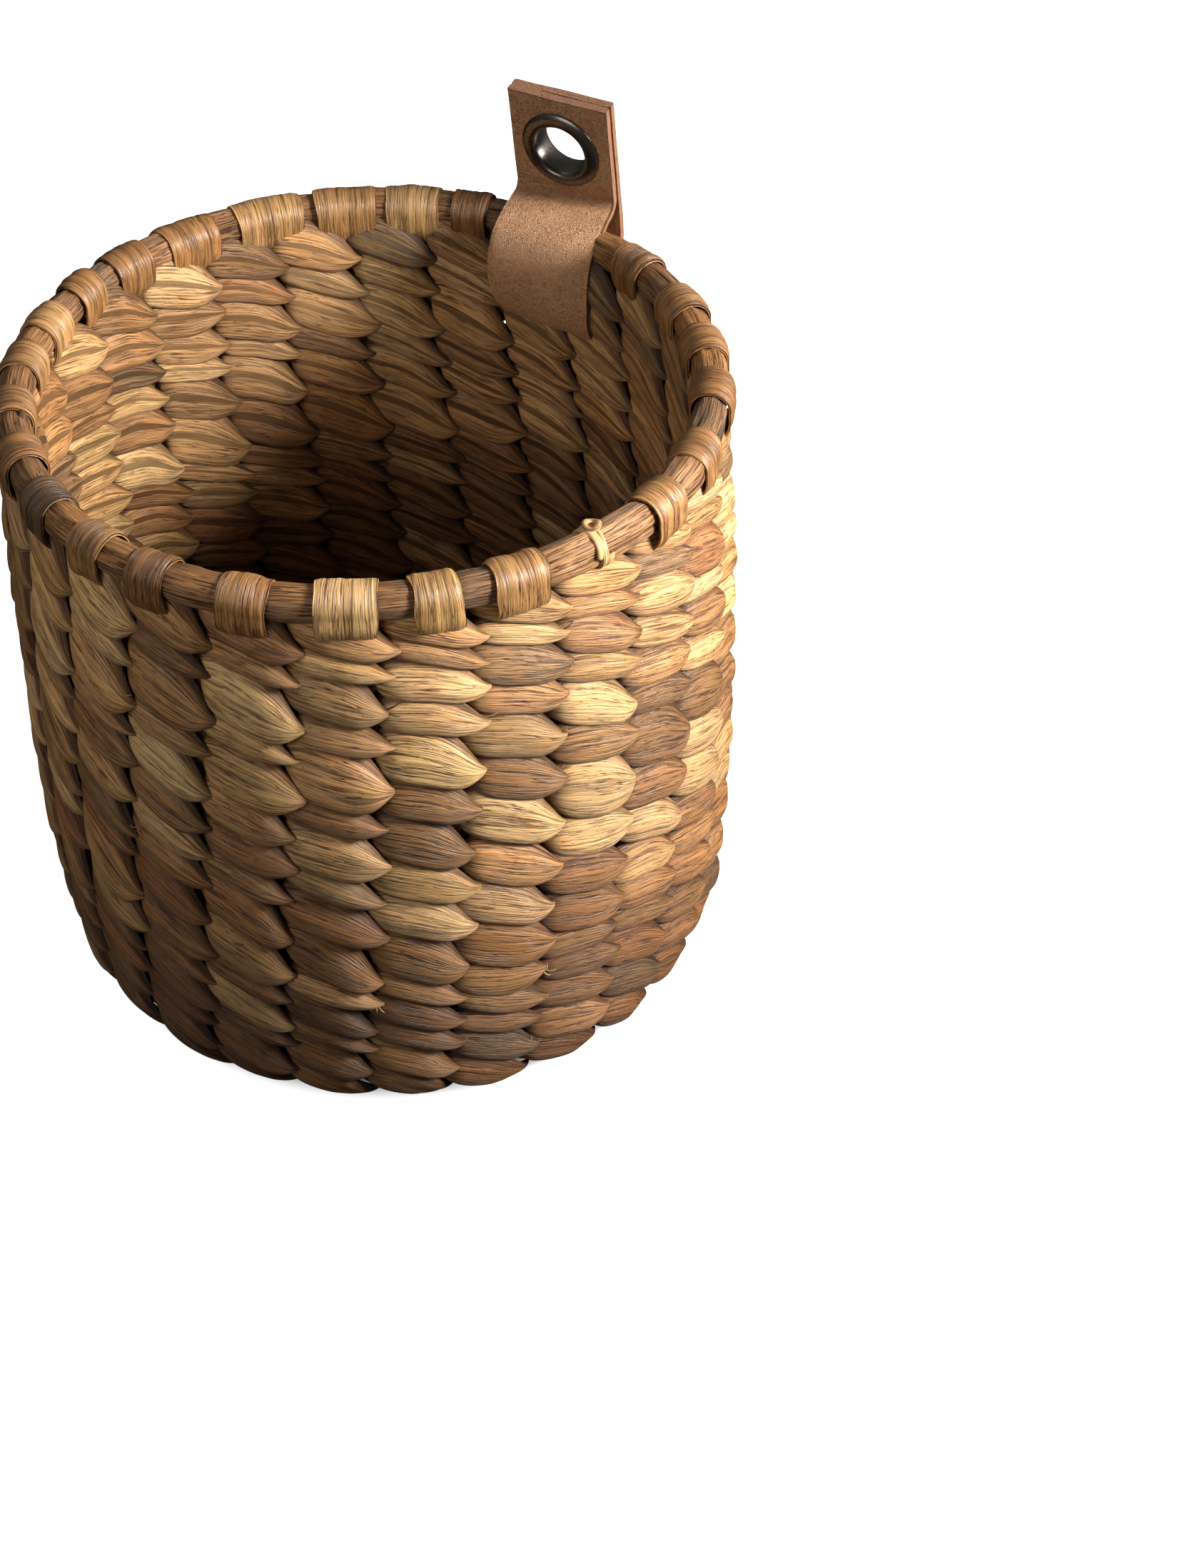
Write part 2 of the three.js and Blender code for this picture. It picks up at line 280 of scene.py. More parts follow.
# ------------------------------------------------------------------ a twined course
# one outside stitch, from where the strand comes out to where it dives in:
# place along the row (pitches), depth n, rise dz, half width, half thickness, facing, steps to the next key
KEYS = np.array([
    [-0.550, 0.2, 4.9, 0.64, 2.0, 0.1],
    [-0.480, 1.8, 5.2, 0.80, 2.2, 0.6],
    [-0.360, 2.8, 4.8, 0.95, 2.5, 0.9],
    [-0.180, 3.4, 3.3, 1.02, 2.7, 1.0],
    [0.020, 4.0, 1.2, 1.02, 2.8, 1.0],
    [0.210, 4.6, -1.2, 0.93, 2.7, 1.0],
    [0.360, 5.1, -3.4, 0.72, 2.3, 1.0],
    [0.475, 5.4, -5.2, 0.46, 1.8, 1.0],
    [0.565, 5.2, -6.5, 0.22, 1.2, 0.9],
    [0.620, 4.4, -7.2, 0.09, 0.7, 0.7],
    [0.615, 2.4, -7.4, 0.07, 0.6, 0.3],
    [0.500, 0.0, -6.6, 0.10, 0.7, 0.0],
])
STEPS = np.array([2, 3, 3, 3, 3, 3, 3, 3, 2, 2, 1])
SIDES = 36
_th = -math.pi / 2 + 2 * math.pi * (np.arange(SIDES) + 0.5) / SIDES
SEC_W = np.sign(np.cos(_th)) * np.abs(np.cos(_th)) ** 0.86
SEC_D = np.sign(np.sin(_th)) * np.abs(np.sin(_th)) ** 0.90
SEC_V = (np.arange(SIDES) + 0.5) / SIDES


def strand(bag, rng, seed, first, count, places, centre, room, tangential, weights, n_scale=1.0, dark=1.0):
    """One strand of `count` stitches, every second one outside, from spoke `first`.
    centre[i], room[i]: the row's middle (ell) and height at spoke i of `places`."""
    cols = pick_colours(rng, count, weights)
    at_k = (first + np.arange(count)) % places
    cols = cols * (1 + 0.20 * vnoise(at_k / places * 6, centre[at_k] / 46.0, 78, 6))[:, None]
    keys = []
    for k in range(count):
        place = (first + k) % places
        outside = k % 2 == 0
        base = KEYS[:-1].copy() if outside else KEYS[1:][::-1].copy()
        if not outside:
            base[:, 0] *= -1
            base[:, 1] *= -1
            base[:, 5] *= -1
        R = room[place] / 15.0
        fat = R * np.clip(rng.normal(1.0, 0.07), 0.85, 1.2)
        tipj = rng.normal(0, 0.025)
        stretch = 1 + rng.normal(0, 0.03)
        s = first + k + base[:, 0] * stretch + tipj * np.clip(np.abs(base[:, 0]) * 2, 0, 1)
        n = base[:, 1] * n_scale * (1 + rng.normal(0, 0.06))
        dz = base[:, 2] * (0.55 + 0.45 * R) * (1 + rng.normal(0, 0.12)) + rng.normal(0, 0.35)
        h = base[:, 3] * 9.4 * fat
        t = base[:, 4] * (0.8 + 0.2 * fat) * (0.9 + 0.1 * n_scale)
        nxt = (place + 1) % places
        frac = np.clip(base[:, 0] + 0.0, -0.5, 0.5)
        prev = (place - 1) % places
        c = np.where(frac >= 0, centre[place] * (1 - frac) + centre[nxt] * frac,
                     centre[place] * (1 + frac) - centre[prev] * frac)
        shade = np.full(len(base), 1.0)
        keys.append(np.concatenate([
            np.stack([s, n, c + dz, h, t, base[:, 5]], 1),
            np.repeat(cols[k][None], len(base), 0) * shade[:, None]], 1))
    keys = np.concatenate(keys)
    K = len(keys)
    # close the loop by padding both ends with copies a full turn away
    pad = 12
    shift = np.zeros(keys.shape[1])
    shift[0] = count
    ext = np.concatenate([keys[-pad:] - shift, keys, keys[:pad] + shift])
    x = np.arange(-pad, K + pad, dtype=float)
    m = pchip_slopes(x, ext)
    m[:, :3] = 0.45 * m[:, :3] + 0.55 * catmull_slopes(x, ext)[:, :3]
    steps_o = STEPS
    steps_i = STEPS[::-1]
    q = []
    pos = 0
    for k in range(count):
        st = steps_o if k % 2 == 0 else steps_i
        for a in st:
            q.extend(pos + np.arange(a) / a)
            pos += 1
    q = np.array(q)
    val = hermite(x, ext, m, q)
    s, n, ell, h, t, facing = (val[:, i] for i in range(6))
    col = val[:, 6:9]
    step_angle = 2 * math.pi / places
    phi = FIRST + s * step_angle + lean_at(ell)
    if tangential:
        phi = phi + tangential
    centre3 = surf(phi, ell, n)
    r, z, tr, tz = profile(ell)
    W = np.stack([tr * np.cos(phi), tr * np.sin(phi), tz], -1)
    T = unit(np.roll(centre3, -1, 0) - np.roll(centre3, 1, 0))
    T = unit(np.roll(T, 1, 0) + 2 * T + np.roll(T, -1, 0))
    D = unit(np.cross(T, W))
    rings = len(q)
    # wrinkles that run along the strand
    u = q / 11.0                                     # stitches along the strand
    U, V = u[:, None] * np.ones(SIDES), SEC_V[None, :] * np.ones((rings, 1))
    per = count
    fold = 0.50 * vnoise(U * 1, V * 9, seed, per) + 0.32 * vnoise(U * 2, V * 19, seed + 1, per * 2)
    lump = vnoise(U * 3, V * 3, seed + 2, per * 3)
    size = (h / 9.4)[:, None]
    w = SEC_W[None, :] * h[:, None] * (1 + 0.025 * lump)
    d = SEC_D[None, :] * t[:, None]
    d = d + np.sign(SEC_D)[None, :] * (0.42 * fold + 0.30 * lump) * np.minimum(1.0, size * 1.1) \
        * np.abs(SEC_D)[None, :] ** 0.5
    tilt = -1.35 * (facing * n_scale)[:, None] * (SEC_W[None, :]) * np.minimum(1, size)
    N3 = np.stack([tz * np.cos(phi), tz * np.sin(phi), -tr], -1)
    P = (centre3[:, None, :] + w[..., None] * W[:, None, :] + d[..., None] * D[:, None, :]
         + tilt[..., None] * N3[:, None, :])
    verts = P.reshape(-1, 3)
    quads = tube_quads(rings, SIDES, True)
    mm = r * step_angle
    travel = np.concatenate([[0], np.cumsum(np.linalg.norm(np.diff(centre3, axis=0), axis=1))])
    fib = np.stack([travel[:, None] * np.ones(SIDES), V * 44.0, np.full((rings, SIDES), (seed % 97) * 3.7)], -1)
    # aux: narrowness of the strand here, facing, place across the section; the material paints shade from the facing
    # and the place across
    aux = np.stack([(1 - size) * np.ones((1, SIDES)), facing[:, None] * np.ones((1, SIDES)), SEC_W[None, :] * np.ones((rings, 1))], -1)
    # dark scales the colour; on the wall rows it holds painted shade towards the bottom together with the stems' own
    # darker tone
    bag.add(verts, quads, None, fib.reshape(-1, 3), np.repeat(col * dark, SIDES, 0), aux.reshape(-1, 3))


# ------------------------------------------------------------------ materials
def new_material(name):
    m = bpy.data.materials.new(name)
    m.use_nodes = True
    nt = m.node_tree
    nt.nodes.clear()
    out = nt.nodes.new("ShaderNodeOutputMaterial")
    b = nt.nodes.new("ShaderNodeBsdfPrincipled")
    nt.links.new(b.outputs[0], out.inputs[0])
    return m, nt, b


class Nodes:
    def __init__(self, nt):
        self.nt = nt

    def node(self, kind, **props):
        n = self.nt.nodes.new(kind)
        for k, v in props.items():
            setattr(n, k, v)
        return n

    def link(self, a, b):
        self.nt.links.new(a, b)

    def value(self, sock, v):
        if isinstance(v, (int, float)):
            sock.default_value = v
        elif isinstance(v, (tuple, list)):
            sock.default_value = v if len(v) != 3 or sock.type != "RGBA" else (*v, 1)
        else:
            self.link(v, sock)

    def math(self, op, a, b=None, c=None, clamp=False):
        n = self.node("ShaderNodeMath", operation=op, use_clamp=clamp)
        self.value(n.inputs[0], a)
        if b is not None:
            self.value(n.inputs[1], b)
        if c is not None:
            self.value(n.inputs[2], c)
        return n.outputs[0]

    def mix(self, fac, a, b, blend="MIX"):
        n = self.node("ShaderNodeMix", data_type="RGBA", blend_type=blend)
        self.value(n.inputs["Factor"], fac)
        self.value(n.inputs[6], a)
        self.value(n.inputs[7], b)
        return n.outputs[2]

    def noise(self, vec, scale, detail=3, rough=0.55, dist=0.0, lac=2.0):
        n = self.node("ShaderNodeTexNoise", noise_dimensions="3D")
        self.link(vec, n.inputs["Vector"])
        n.inputs["Scale"].default_value = scale
        n.inputs["Detail"].default_value = detail
        n.inputs["Roughness"].default_value = rough
        n.inputs["Lacunarity"].default_value = lac
        n.inputs["Distortion"].default_value = dist
        return n.outputs["Fac"]

    def scale_vec(self, vec, sx, sy, sz, off=(0, 0, 0)):
        n = self.node("ShaderNodeMapping")
        self.link(vec, n.inputs["Vector"])
        n.inputs["Scale"].default_value = (sx, sy, sz)
        n.inputs["Location"].default_value = off
        return n.outputs[0]

    def ramp(self, fac, stops, interp="LINEAR"):
        n = self.node("ShaderNodeValToRGB")
        n.color_ramp.interpolation = interp
        el = n.color_ramp.elements
        while len(el) > 1:
            el.remove(el[-1])
        el[0].position, el[0].color = stops[0][0], (*stops[0][1], 1)
        for p, c in stops[1:]:
            e = el.new(p)
            e.color = (*c, 1)
        self.link(fac, n.inputs[0])
        return n.outputs[0]

    def smooth(self, v, lo, hi, out_lo=0.0, out_hi=1.0):
        n = self.node("ShaderNodeMapRange", interpolation_type="SMOOTHSTEP")
        self.link(v, n.inputs["Value"])
        n.inputs["From Min"].default_value = lo
        n.inputs["From Max"].default_value = hi
        n.inputs["To Min"].default_value = out_lo
        n.inputs["To Max"].default_value = out_hi
        return n.outputs["Result"]


def g3(v):
    return (v, v, v)


def stem_material(name, streak=1.0, bump=1.0, rough=0.5, dark_streak=0.95, light=1.0, across=1.0):
    m, nt, b = new_material(name)
    k = Nodes(nt)
    fib = k.node("ShaderNodeAttribute", attribute_name="fib").outputs["Vector"]
    tone = k.node("ShaderNodeAttribute", attribute_name="tone").outputs["Color"]
    # fibres: long and thin along the strand
    fine = k.noise(k.scale_vec(fib, 0.045, 1.55 * across, 1.0), 1.0, 3, 0.6)
    fine2 = k.noise(k.scale_vec(fib, 0.11, 3.3 * across, 1.0, (7, 3, 1)), 1.0, 2, 0.6)
    wide = k.noise(k.scale_vec(fib, 0.03, 0.42 * across, 1.0, (3, 9, 2)), 1.0, 2, 0.5)
    blotch = k.noise(k.scale_vec(fib, 0.055, 0.09, 1.0, (11, 5, 4)), 1.0, 4, 0.6)
    fleck = k.noise(k.scale_vec(fib, 0.42, 1.5 * across, 1.0, (2, 13, 8)), 1.0, 2, 0.55)
    line = k.smooth(fine, 0.36, 0.47, 1.0, 0.0)          # thin dark lines
    line2 = k.smooth(fine2, 0.35, 0.45, 1.0, 0.0)
    spot = k.smooth(fleck, 0.63, 0.72)
    def contour(vec, level, width):
        n = k.noise(vec, 1.0, 1.5, 0.5)
        return k.smooth(k.math("ABSOLUTE", k.math("SUBTRACT", n, level)), width * 0.35, width, 1.0, 0.0)
    thin = k.math("MAXIMUM", contour(k.scale_vec(fib, 0.022, 0.80 * across, 1.0, (5, 1, 9)), 0.50, 0.020),
                  contour(k.scale_vec(fib, 0.030, 1.05 * across, 1.0, (9, 31, 2)), 0.46, 0.022))
    broken = k.smooth(k.noise(k.scale_vec(fib, 0.14, 0.8 * across, 1.0, (31, 8, 5)), 1.0, 2, 0.6), 0.40, 0.58)
    thin = k.math("MULTIPLY", thin, broken)
    # where lines gather
    gather = k.smooth(blotch, 0.38, 0.62)
    c = k.mix(1.0, tone, k.ramp(wide, [(0.25, g3(0.66)), (0.5, g3(1.0)), (0.75, g3(1.26))]), "MULTIPLY")
    c = k.mix(1.0, c, k.ramp(fine, [(0.3, g3(0.74)), (0.5, g3(1.0)), (0.7, g3(1.18))]), "MULTIPLY")
    warm = k.mix(1.0, c, (1.02, 0.86, 0.70), "MULTIPLY")
    c = k.mix(k.smooth(blotch, 0.50, 0.72, 0.0, 0.75), c, warm)
    dark = k.mix(1.0, c, (0.25, 0.175, 0.13), "MULTIPLY")
    lines = k.math("MULTIPLY", k.math("ADD", k.math("MULTIPLY", line, 0.85), k.math("MULTIPLY", line2, 0.45), clamp=True),
                   k.math("ADD", k.math("MULTIPLY", gather, 0.65), 0.35))
    c = k.mix(k.math("MULTIPLY", lines, dark_streak * streak), c, dark)
    c = k.mix(k.math("MULTIPLY", thin, 0.80 * streak), c, k.mix(1.0, c, (0.25, 0.175, 0.13), "MULTIPLY"))
    c = k.mix(k.math("MULTIPLY", spot, 0.6 * streak), c, k.mix(1.0, c, (0.28, 0.20, 0.16), "MULTIPLY"))
    # pale scuffs along raised fibres
    scuff = k.noise(k.scale_vec(fib, 0.09, 0.55 * across, 1.0, (21, 3, 6)), 1.0, 3, 0.6)
    pale = k.mix(1.0, c, (1.35, 1.36, 1.38), "MULTIPLY")
    c = k.mix(k.math("MULTIPLY", k.smooth(scuff, 0.64, 0.80), k.smooth(fine, 0.48, 0.6, 0.15, 0.6)), c, pale)
    # painted shade: each stitch is darkened along its top edge under the row above, along its bottom edge, and at its
    # ends where the strand dives through the wall
    sep = k.node("ShaderNodeSeparateXYZ")
    k.link(k.node("ShaderNodeAttribute", attribute_name="aux").outputs["Vector"], sep.inputs[0])
    side = k.math("MAXIMUM", k.smooth(sep.outputs[2], 0.42, 0.95, 0.0, 0.80),
                  k.smooth(k.math("MULTIPLY", sep.outputs[2], -1.0), 0.72, 1.0, 0.0, 0.55))
    hid = k.smooth(k.math("ABSOLUTE", sep.outputs[1]), 0.10, 0.80, 0.70, 0.0)
    c = k.mix(k.math("MAXIMUM", side, hid), c, k.mix(1.0, c, (0.24, 0.165, 0.12), "MULTIPLY"))
    if light != 1.0:
        c = k.mix(1.0, c, g3(light), "MULTIPLY")
    k.link(c, b.inputs["Base Color"])
    r = k.math("ADD", k.math("MULTIPLY", fine, 0.22), k.math("MULTIPLY", blotch, 0.18))
    r = k.math("ADD", r, rough - 0.20)
    k.link(k.math("ADD", r, k.math("MULTIPLY", lines, 0.15), clamp=True), b.inputs["Roughness"])
    b.inputs["Specular IOR Level"].default_value = 0.5
    h = k.math("ADD", k.math("MULTIPLY", fine, 1.0), k.math("MULTIPLY", fine2, 0.35))
    h = k.math("ADD", h, k.math("MULTIPLY", wide, 1.1))
    h = k.math("SUBTRACT", h, k.math("MULTIPLY", lines, 0.55))
    h = k.math("SUBTRACT", h, k.math("MULTIPLY", thin, 0.45))
    bp = k.node("ShaderNodeBump")
    bp.inputs["Strength"].default_value = 1.0
    bp.inputs["Distance"].default_value = 0.00042 * bump
    k.link(h, bp.inputs["Height"])
    k.link(bp.outputs[0], b.inputs["Normal"])
    return m


MAT_WEFT = stem_material("weft_stem", rough=0.47)
MAT_STAKE = stem_material("stake_stem", streak=0.8, bump=0.8, rough=0.6)
MAT_CORE = stem_material("rim_stem", streak=1.2, bump=1.5, rough=0.5)
MAT_LASH = stem_material("lashing_stem", streak=0.9, bump=0.9, rough=0.40, across=0.8, light=0.86)

# ------------------------------------------------------------------ courses: base rounds and wall rows
rng_rows = np.random.default_rng(747)
ell0, ell1 = ELL_WALL0, ELL_WALL1
# height of each row at each spoke: mostly even, some rows thick or thin for a few stitches
rel = np.ones((ROWS, N))
for j in range(ROWS):
    amp = 0.10 if j in (0, 1) else (0.16 if j < 6 else 0.24)
    a = rng_rows.normal(0, 1, N)
    sm = np.zeros(N)
    for dk, wk in ((-3, .25), (-2, .55), (-1, .85), (0, 1), (1, .85), (2, .55), (3, .25)):
        sm += wk * np.roll(a, dk)
    sm /= np.sqrt(np.sum(np.array([.25, .55, .85, 1, .85, .55, .25]) ** 2))
    rel[j] = np.exp(amp * sm + 0.05 * rng_rows.normal(0, 1, N))
# rows seen at the front of the wall, from the top down: thin second row, thick third row and so on
front = (FIRST + np.arange(N) * PITCH)
near = 0.5 + 0.5 * np.cos(front - math.radians(-50))
near = near ** 1.5
seen = {13: 0.78, 12: 1.36, 11: 0.90, 10: 1.16, 9: 1.0, 8: 1.12, 7: 0.86, 6: 0.90, 5: 1.08, 4: 0.84}
for j, v in seen.items():
    rel[j] *= np.exp(np.log(v) * near)
rel = np.clip(rel, 0.62, 1.6)
rel /= rel.sum(0)[None, :]
heights = rel * (ell1 - ell0)
tops = ell0 + np.cumsum(heights, 0)
centres = tops - heights / 2

W_TOP = [0.46, 0.30, 0.09, 0.02, 0.03, 0.04, 0.06]
W_LOW = [0.05, 0.24, 0.19, 0.08, 0.04, 0.01, 0.39]
W_BASE = [0.14, 0.28, 0.18, 0.08, 0.04, 0.03, 0.25]
made = []
for j in range(ROWS):
    f = j / (ROWS - 1)
    g = min(1.0, max(0.0, (f - 0.15) / 0.55))
    wts = np.array(W_LOW) * (1 - g) + np.array(W_TOP) * g
    wts /= wts.sum()
    bag = Bag()
    rng = np.random.default_rng(100 + j)
    for st in (0, 1):
        # dark runs from 0.66 at the lowest rows to 1.0 higher up: the lower stems are darker partly in their own colour
        # and partly by painted shade towards the bottom of the wall
        strand(bag, rng, 200 + j * 7 + st * 3, st, N, N, centres[j], heights[j], 0.0, wts,
               dark=0.66 + 0.34 * g)
    o = bag.build(f"row_{j + 1:02d}_strands", MAT_WEFT)
    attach(o, "basket")
    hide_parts(f"weave_row_{j + 1:02d}")
    made.append(o)

step = (BASE_OUT - BASE_IN) / ROUNDS
for i in range(ROUNDS):
    c = BASE_IN + (i + 0.5) * step
    bag = Bag()
    rng = np.random.default_rng(500 + i)
    places = N // 2 if i < 3 else N
    cen, roo = np.full(places, c), np.full(places, step * 1.03)
    # the lean of the wall's columns starts where the base ends
    shift = PITCH / 2 if i < 3 else 0.0
    if places % 2 == 0:
        for st in (0, 1):
            strand(bag, rng, 600 + i * 7 + st * 3, st, places, places, cen, roo, shift, W_BASE, n_scale=0.86, dark=0.85)
    else:
        strand(bag, rng, 600 + i * 7, 0, 2 * places, places, cen, roo, shift, W_BASE, n_scale=0.86, dark=0.85)
    o = bag.build(f"base_round_{i + 1}_strands", MAT_WEFT)
    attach(o, "basket")
    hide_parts(f"base_round_{i + 1}")
    made.append(o)


# ------------------------------------------------------------------ free tubes (stakes, core, ties)
def sweep(bag, line, up, half_w, half_t, sides, col, seed, closed=False, power=0.8, wrinkle=0.2, twist=None, vspan=30.0,
          lobes=None):
    """A tube along `line`; `up` is its width direction at each point."""
    line = np.asarray(line, float)
    n = len(line)
    if closed:
        T = unit(np.roll(line, -1, 0) - np.roll(line, 1, 0))
    else:
        T = unit(np.gradient(line, axis=0))
    up = np.asarray(up, float) * np.ones((n, 1))
    Wd = unit(up - np.einsum("ij,ij->i", up, T)[:, None] * T)
    D = unit(np.cross(T, Wd))
    hw, ht = np.asarray(half_w, float) * np.ones(n), np.asarray(half_t, float) * np.ones(n)
    th = 2 * math.pi * (np.arange(sides) + 0.5) / sides
    A = th[None, :] + (0 if twist is None else np.asarray(twist)[:, None])
    cw = np.sign(np.cos(th)) * np.abs(np.cos(th)) ** power
    cd = np.sign(np.sin(th)) * np.abs(np.sin(th)) ** power
    travel = np.concatenate([[0], np.cumsum(np.linalg.norm(np.diff(line, axis=0), axis=1))])
    total = travel[-1] + (np.linalg.norm(line[0] - line[-1]) if closed else 0)
    cells = max(4, int(round(total / 14.0)))
    U = (travel / total * cells)[:, None] * np.ones(sides)
    V = (A / (2 * math.pi)) * np.ones((n, 1))
    # ridges round the section, periodic in angle
    Vp = np.mod(V, 1.0) * 8
    nz = vnoise(Vp, U, seed, 8) * 0.7 + 0.5 * vnoise(np.mod(V, 1.0) * 16, U * 1.7, seed + 1, 16)
    if closed:
        # fade to equal values at the seam
        seam = np.clip(np.minimum(travel, total - travel) / 12.0, 0, 1)[:, None]
        nz = nz * seam
    s = 1 + wrinkle * nz / max(1e-6, float(np.mean(ht)))
    if lobes is not None:
        s = s + lobes(V, U)
    P = line[:, None, :] + (cw[None, :] * hw[:, None] * s)[..., None] * Wd[:, None, :] \
        + (cd[None, :] * ht[:, None] * s)[..., None] * D[:, None, :]
    verts = P.reshape(-1, 3)
    quads = tube_quads(n, sides, closed)
    tris = None
    fib = np.stack([travel[:, None] * np.ones(sides), np.mod(V, 1.0) * vspan, np.full((n, sides), (seed % 89) * 2.9)], -1).reshape(-1, 3)
    colv = np.repeat(np.asarray(col, float) * np.ones((n, 3)), sides, 0)
    aux = np.zeros((len(verts), 3))
    aux[:, 1] = 1.0
    if not closed:
        c0, c1 = verts[:sides].mean(0), verts[-sides:].mean(0)
        verts = np.concatenate([verts, [c0, c1]])
        fib = np.concatenate([fib, fib[:1], fib[-1:]])
        colv = np.concatenate([colv, colv[:1], colv[-1:]])
        aux = np.concatenate([aux, aux[:2]])
        j = np.arange(sides)
        a = np.stack([(j + 1) % sides, j, np.full(sides, n * sides)], -1)
        last = (n - 1) * sides
        b = np.stack([last + j, last + (j + 1) % sides, np.full(sides, n * sides + 1)], -1)
        tris = np.concatenate([a, b])
    bag.add(verts, quads, tris, fib, colv, aux)


# stakes: the 13 long stems that cross under the middle and stand in the wall
rng = np.random.default_rng(31)
bag = Bag()
GROUPS = (6, 7)
for side, count in enumerate(GROUPS):
    layer = -1.75 if side == 0 else 1.75
    axis = side * math.pi / 2
    for kk in range(count):
        place = kk - (count - 1) / 2
        off, lean = place * 6.6, place * PITCH
        r0 = off / math.sin(lean) if lean else 26.5
        col = np.array(FAMILIES[rng.choice([0, 1, 1, 5])][0]) * rng.uniform(0.85, 1.05)
        halves = []
        for sgn in (1, -1):
            angle = axis + lean if sgn == 1 else axis + math.pi - lean
            pts = [(sgn * r0 * math.cos(lean) * f, off) for f in (0.0, 0.5, 0.85)]
            line = [np.array([math.cos(axis) * x - math.sin(axis) * y, math.sin(axis) * x + math.cos(axis) * y,
                              6.25 + layer]) for x, y in pts]
            strap_one = abs(math.atan2(math.sin(angle - FIRST), math.cos(angle - FIRST))) < 1e-3
            ells = list(np.linspace(r0 + 6, 96, 10)) + list(np.linspace(102, (ell_at_z(188) if strap_one else ELL_WALL1 - 3), 44))
            for e in ells:
                p = surf(np.array([angle + lean_at(e)]), np.array([e]), np.array([0.0]))[0]
                f = np.clip((40 - e) / 14, 0, 1)
                p = p + np.array([0, 0, layer * f])
                line.append(p)
            halves.append(line)
        line = halves[1][::-1] + halves[0][1:]
        line = np.array(line)
        w = unit(np.cross(unit(np.gradient(line, axis=0)), np.stack([line[:, 0] * 0, line[:, 1] * 0, np.ones(len(line))], -1)))
        # width direction is tangential to the basket: radial x local normal
        rad = unit(np.stack([line[:, 0], line[:, 1], 0 * line[:, 0]], -1))
        tang = np.stack([-rad[:, 1], rad[:, 0], 0 * rad[:, 0]], -1)
        inner = np.hypot(line[:, 0], line[:, 1]) < 32
        ax = np.array([-math.sin(axis), math.cos(axis), 0.0])
        sgn = np.sign(tang @ ax)
        sgn[sgn == 0] = 1
        up = np.where(inner[:, None], ax[None, :], tang * sgn[:, None])
        sweep(bag, line, up, 2.9, 1.45, 14, col, 900 + side * 50 + kk, power=0.75, wrinkle=0.10, vspan=16)
stakes = bag.build("stakes_crossed", MAT_STAKE)
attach(stakes, "basket")
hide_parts(*[f"stake_{i:02d}" for i in range(1, 14)])

# rim core: one bundle of stems, pinched a little under each lashing
rng = np.random.default_rng(77)
NC = 780
a = np.arange(NC) / NC * 2 * math.pi
wob_r = 0.9 * vnoise(a / (2 * math.pi) * 9, 0 * a, 5, 9) + 0.4 * vnoise(a / (2 * math.pi) * 26, 0 * a, 6, 26)
wob_z = 0.9 * vnoise(a / (2 * math.pi) * 8, 0 * a, 8, 8) + 0.5 * vnoise(a / (2 * math.pi) * 26, 0 * a, 9, 26)
lean_top = float(lean_at(np.array([ELL_WALL1]))[0])


def rim_point(phi):
    x = np.mod(phi, 2 * math.pi) / (2 * math.pi) * NC
    i = np.floor(x).astype(int) % NC
    f = x - np.floor(x)
    j = (i + 1) % NC
    return (RIM_R + wob_r[i] * (1 - f) + wob_r[j] * f, RIM_Z + wob_z[i] * (1 - f) + wob_z[j] * f)


# place round the rim (degrees), width (mm) and colour of each lashing
LASHINGS = [
    (70.3, 15, BROWN[0]), (55.3, 16, TAN[1]), (43.0, 15, TAN[2]), (28.9, 17, BROWN[0]), (12.2, 15, TAN[1]),
    (358.1, 16, TAN[0]), (329.7, 18, TAN[0]), (316.6, 15, OLIVE[0]), (303.5, 20, STRAW[0]), (288.3, 16, TAN[1]),
    (272.8, 14, BROWN[0]), (261.1, 13, TAN[1]), (246.9, 15, GREY[0]), (233.9, 15, TAN[2]), (220.5, 14, TAN[1]),
    (206.5, 16, TAN[0]), (195.0, 15, STRAW[2]), (183.8, 13, TAN[1]), (172.7, 17, TAN[2]), (159.5, 22, TAN[1]),
    (143.8, 26, STRAW[2]), (129.5, 24, TAN[0]), (117.3, 21, STRAW[1]), (106.4, 14, BROWN[0])]
lash_at = [math.radians(x[0]) for x in LASHINGS]
pinch = np.zeros(NC)
for L in lash_at:
    dd = np.arctan2(np.sin(a - L), np.cos(a - L)) * RIM_R
    pinch += np.exp(-(dd / 8.0) ** 4)
line = np.stack([(RIM_R + wob_r) * np.cos(a), (RIM_R + wob_r) * np.sin(a), RIM_Z + wob_z], -1)
strap_near = np.exp(-((np.arctan2(np.sin(a - FIRST), np.cos(a - FIRST)) * RIM_R) / 22.0) ** 6)
rad_c = (5.9 - 0.55 * np.clip(pinch, 0, 1) + 0.35 * vnoise(a / (2 * math.pi) * 40, 0 * a, 12, 40)) * (1 - 0.07 * strap_near)
bag = Bag()
corecols = []
for t in a:
    v = float(vnoise(np.array([t / (2 * math.pi) * 18]), np.array([0.0]), 21, 18)[0])
    c0, c1, c2 = np.array(BROWN[0]), np.array(TAN[1]), np.array(GREY[0])
    corecols.append(c0 * (1 - abs(v)) + (c1 if v > 0 else c2) * abs(v))
corecols = np.array(corecols)
up = np.stack([np.cos(a), np.sin(a), 0 * a], -1)


def core_lobes(V, U):
    return 0.085 * np.abs(np.sin(math.pi * (V * 7 + 0.22 * np.sin(U * 0.9))))


sweep(bag, line, up, rad_c, rad_c * 1.04, 44, corecols, 41, closed=True, power=1.0, wrinkle=0.5, vspan=38, lobes=core_lobes)
core = bag.build("rim_bundle", MAT_CORE)
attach(core, "basket")
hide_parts("rim_core")

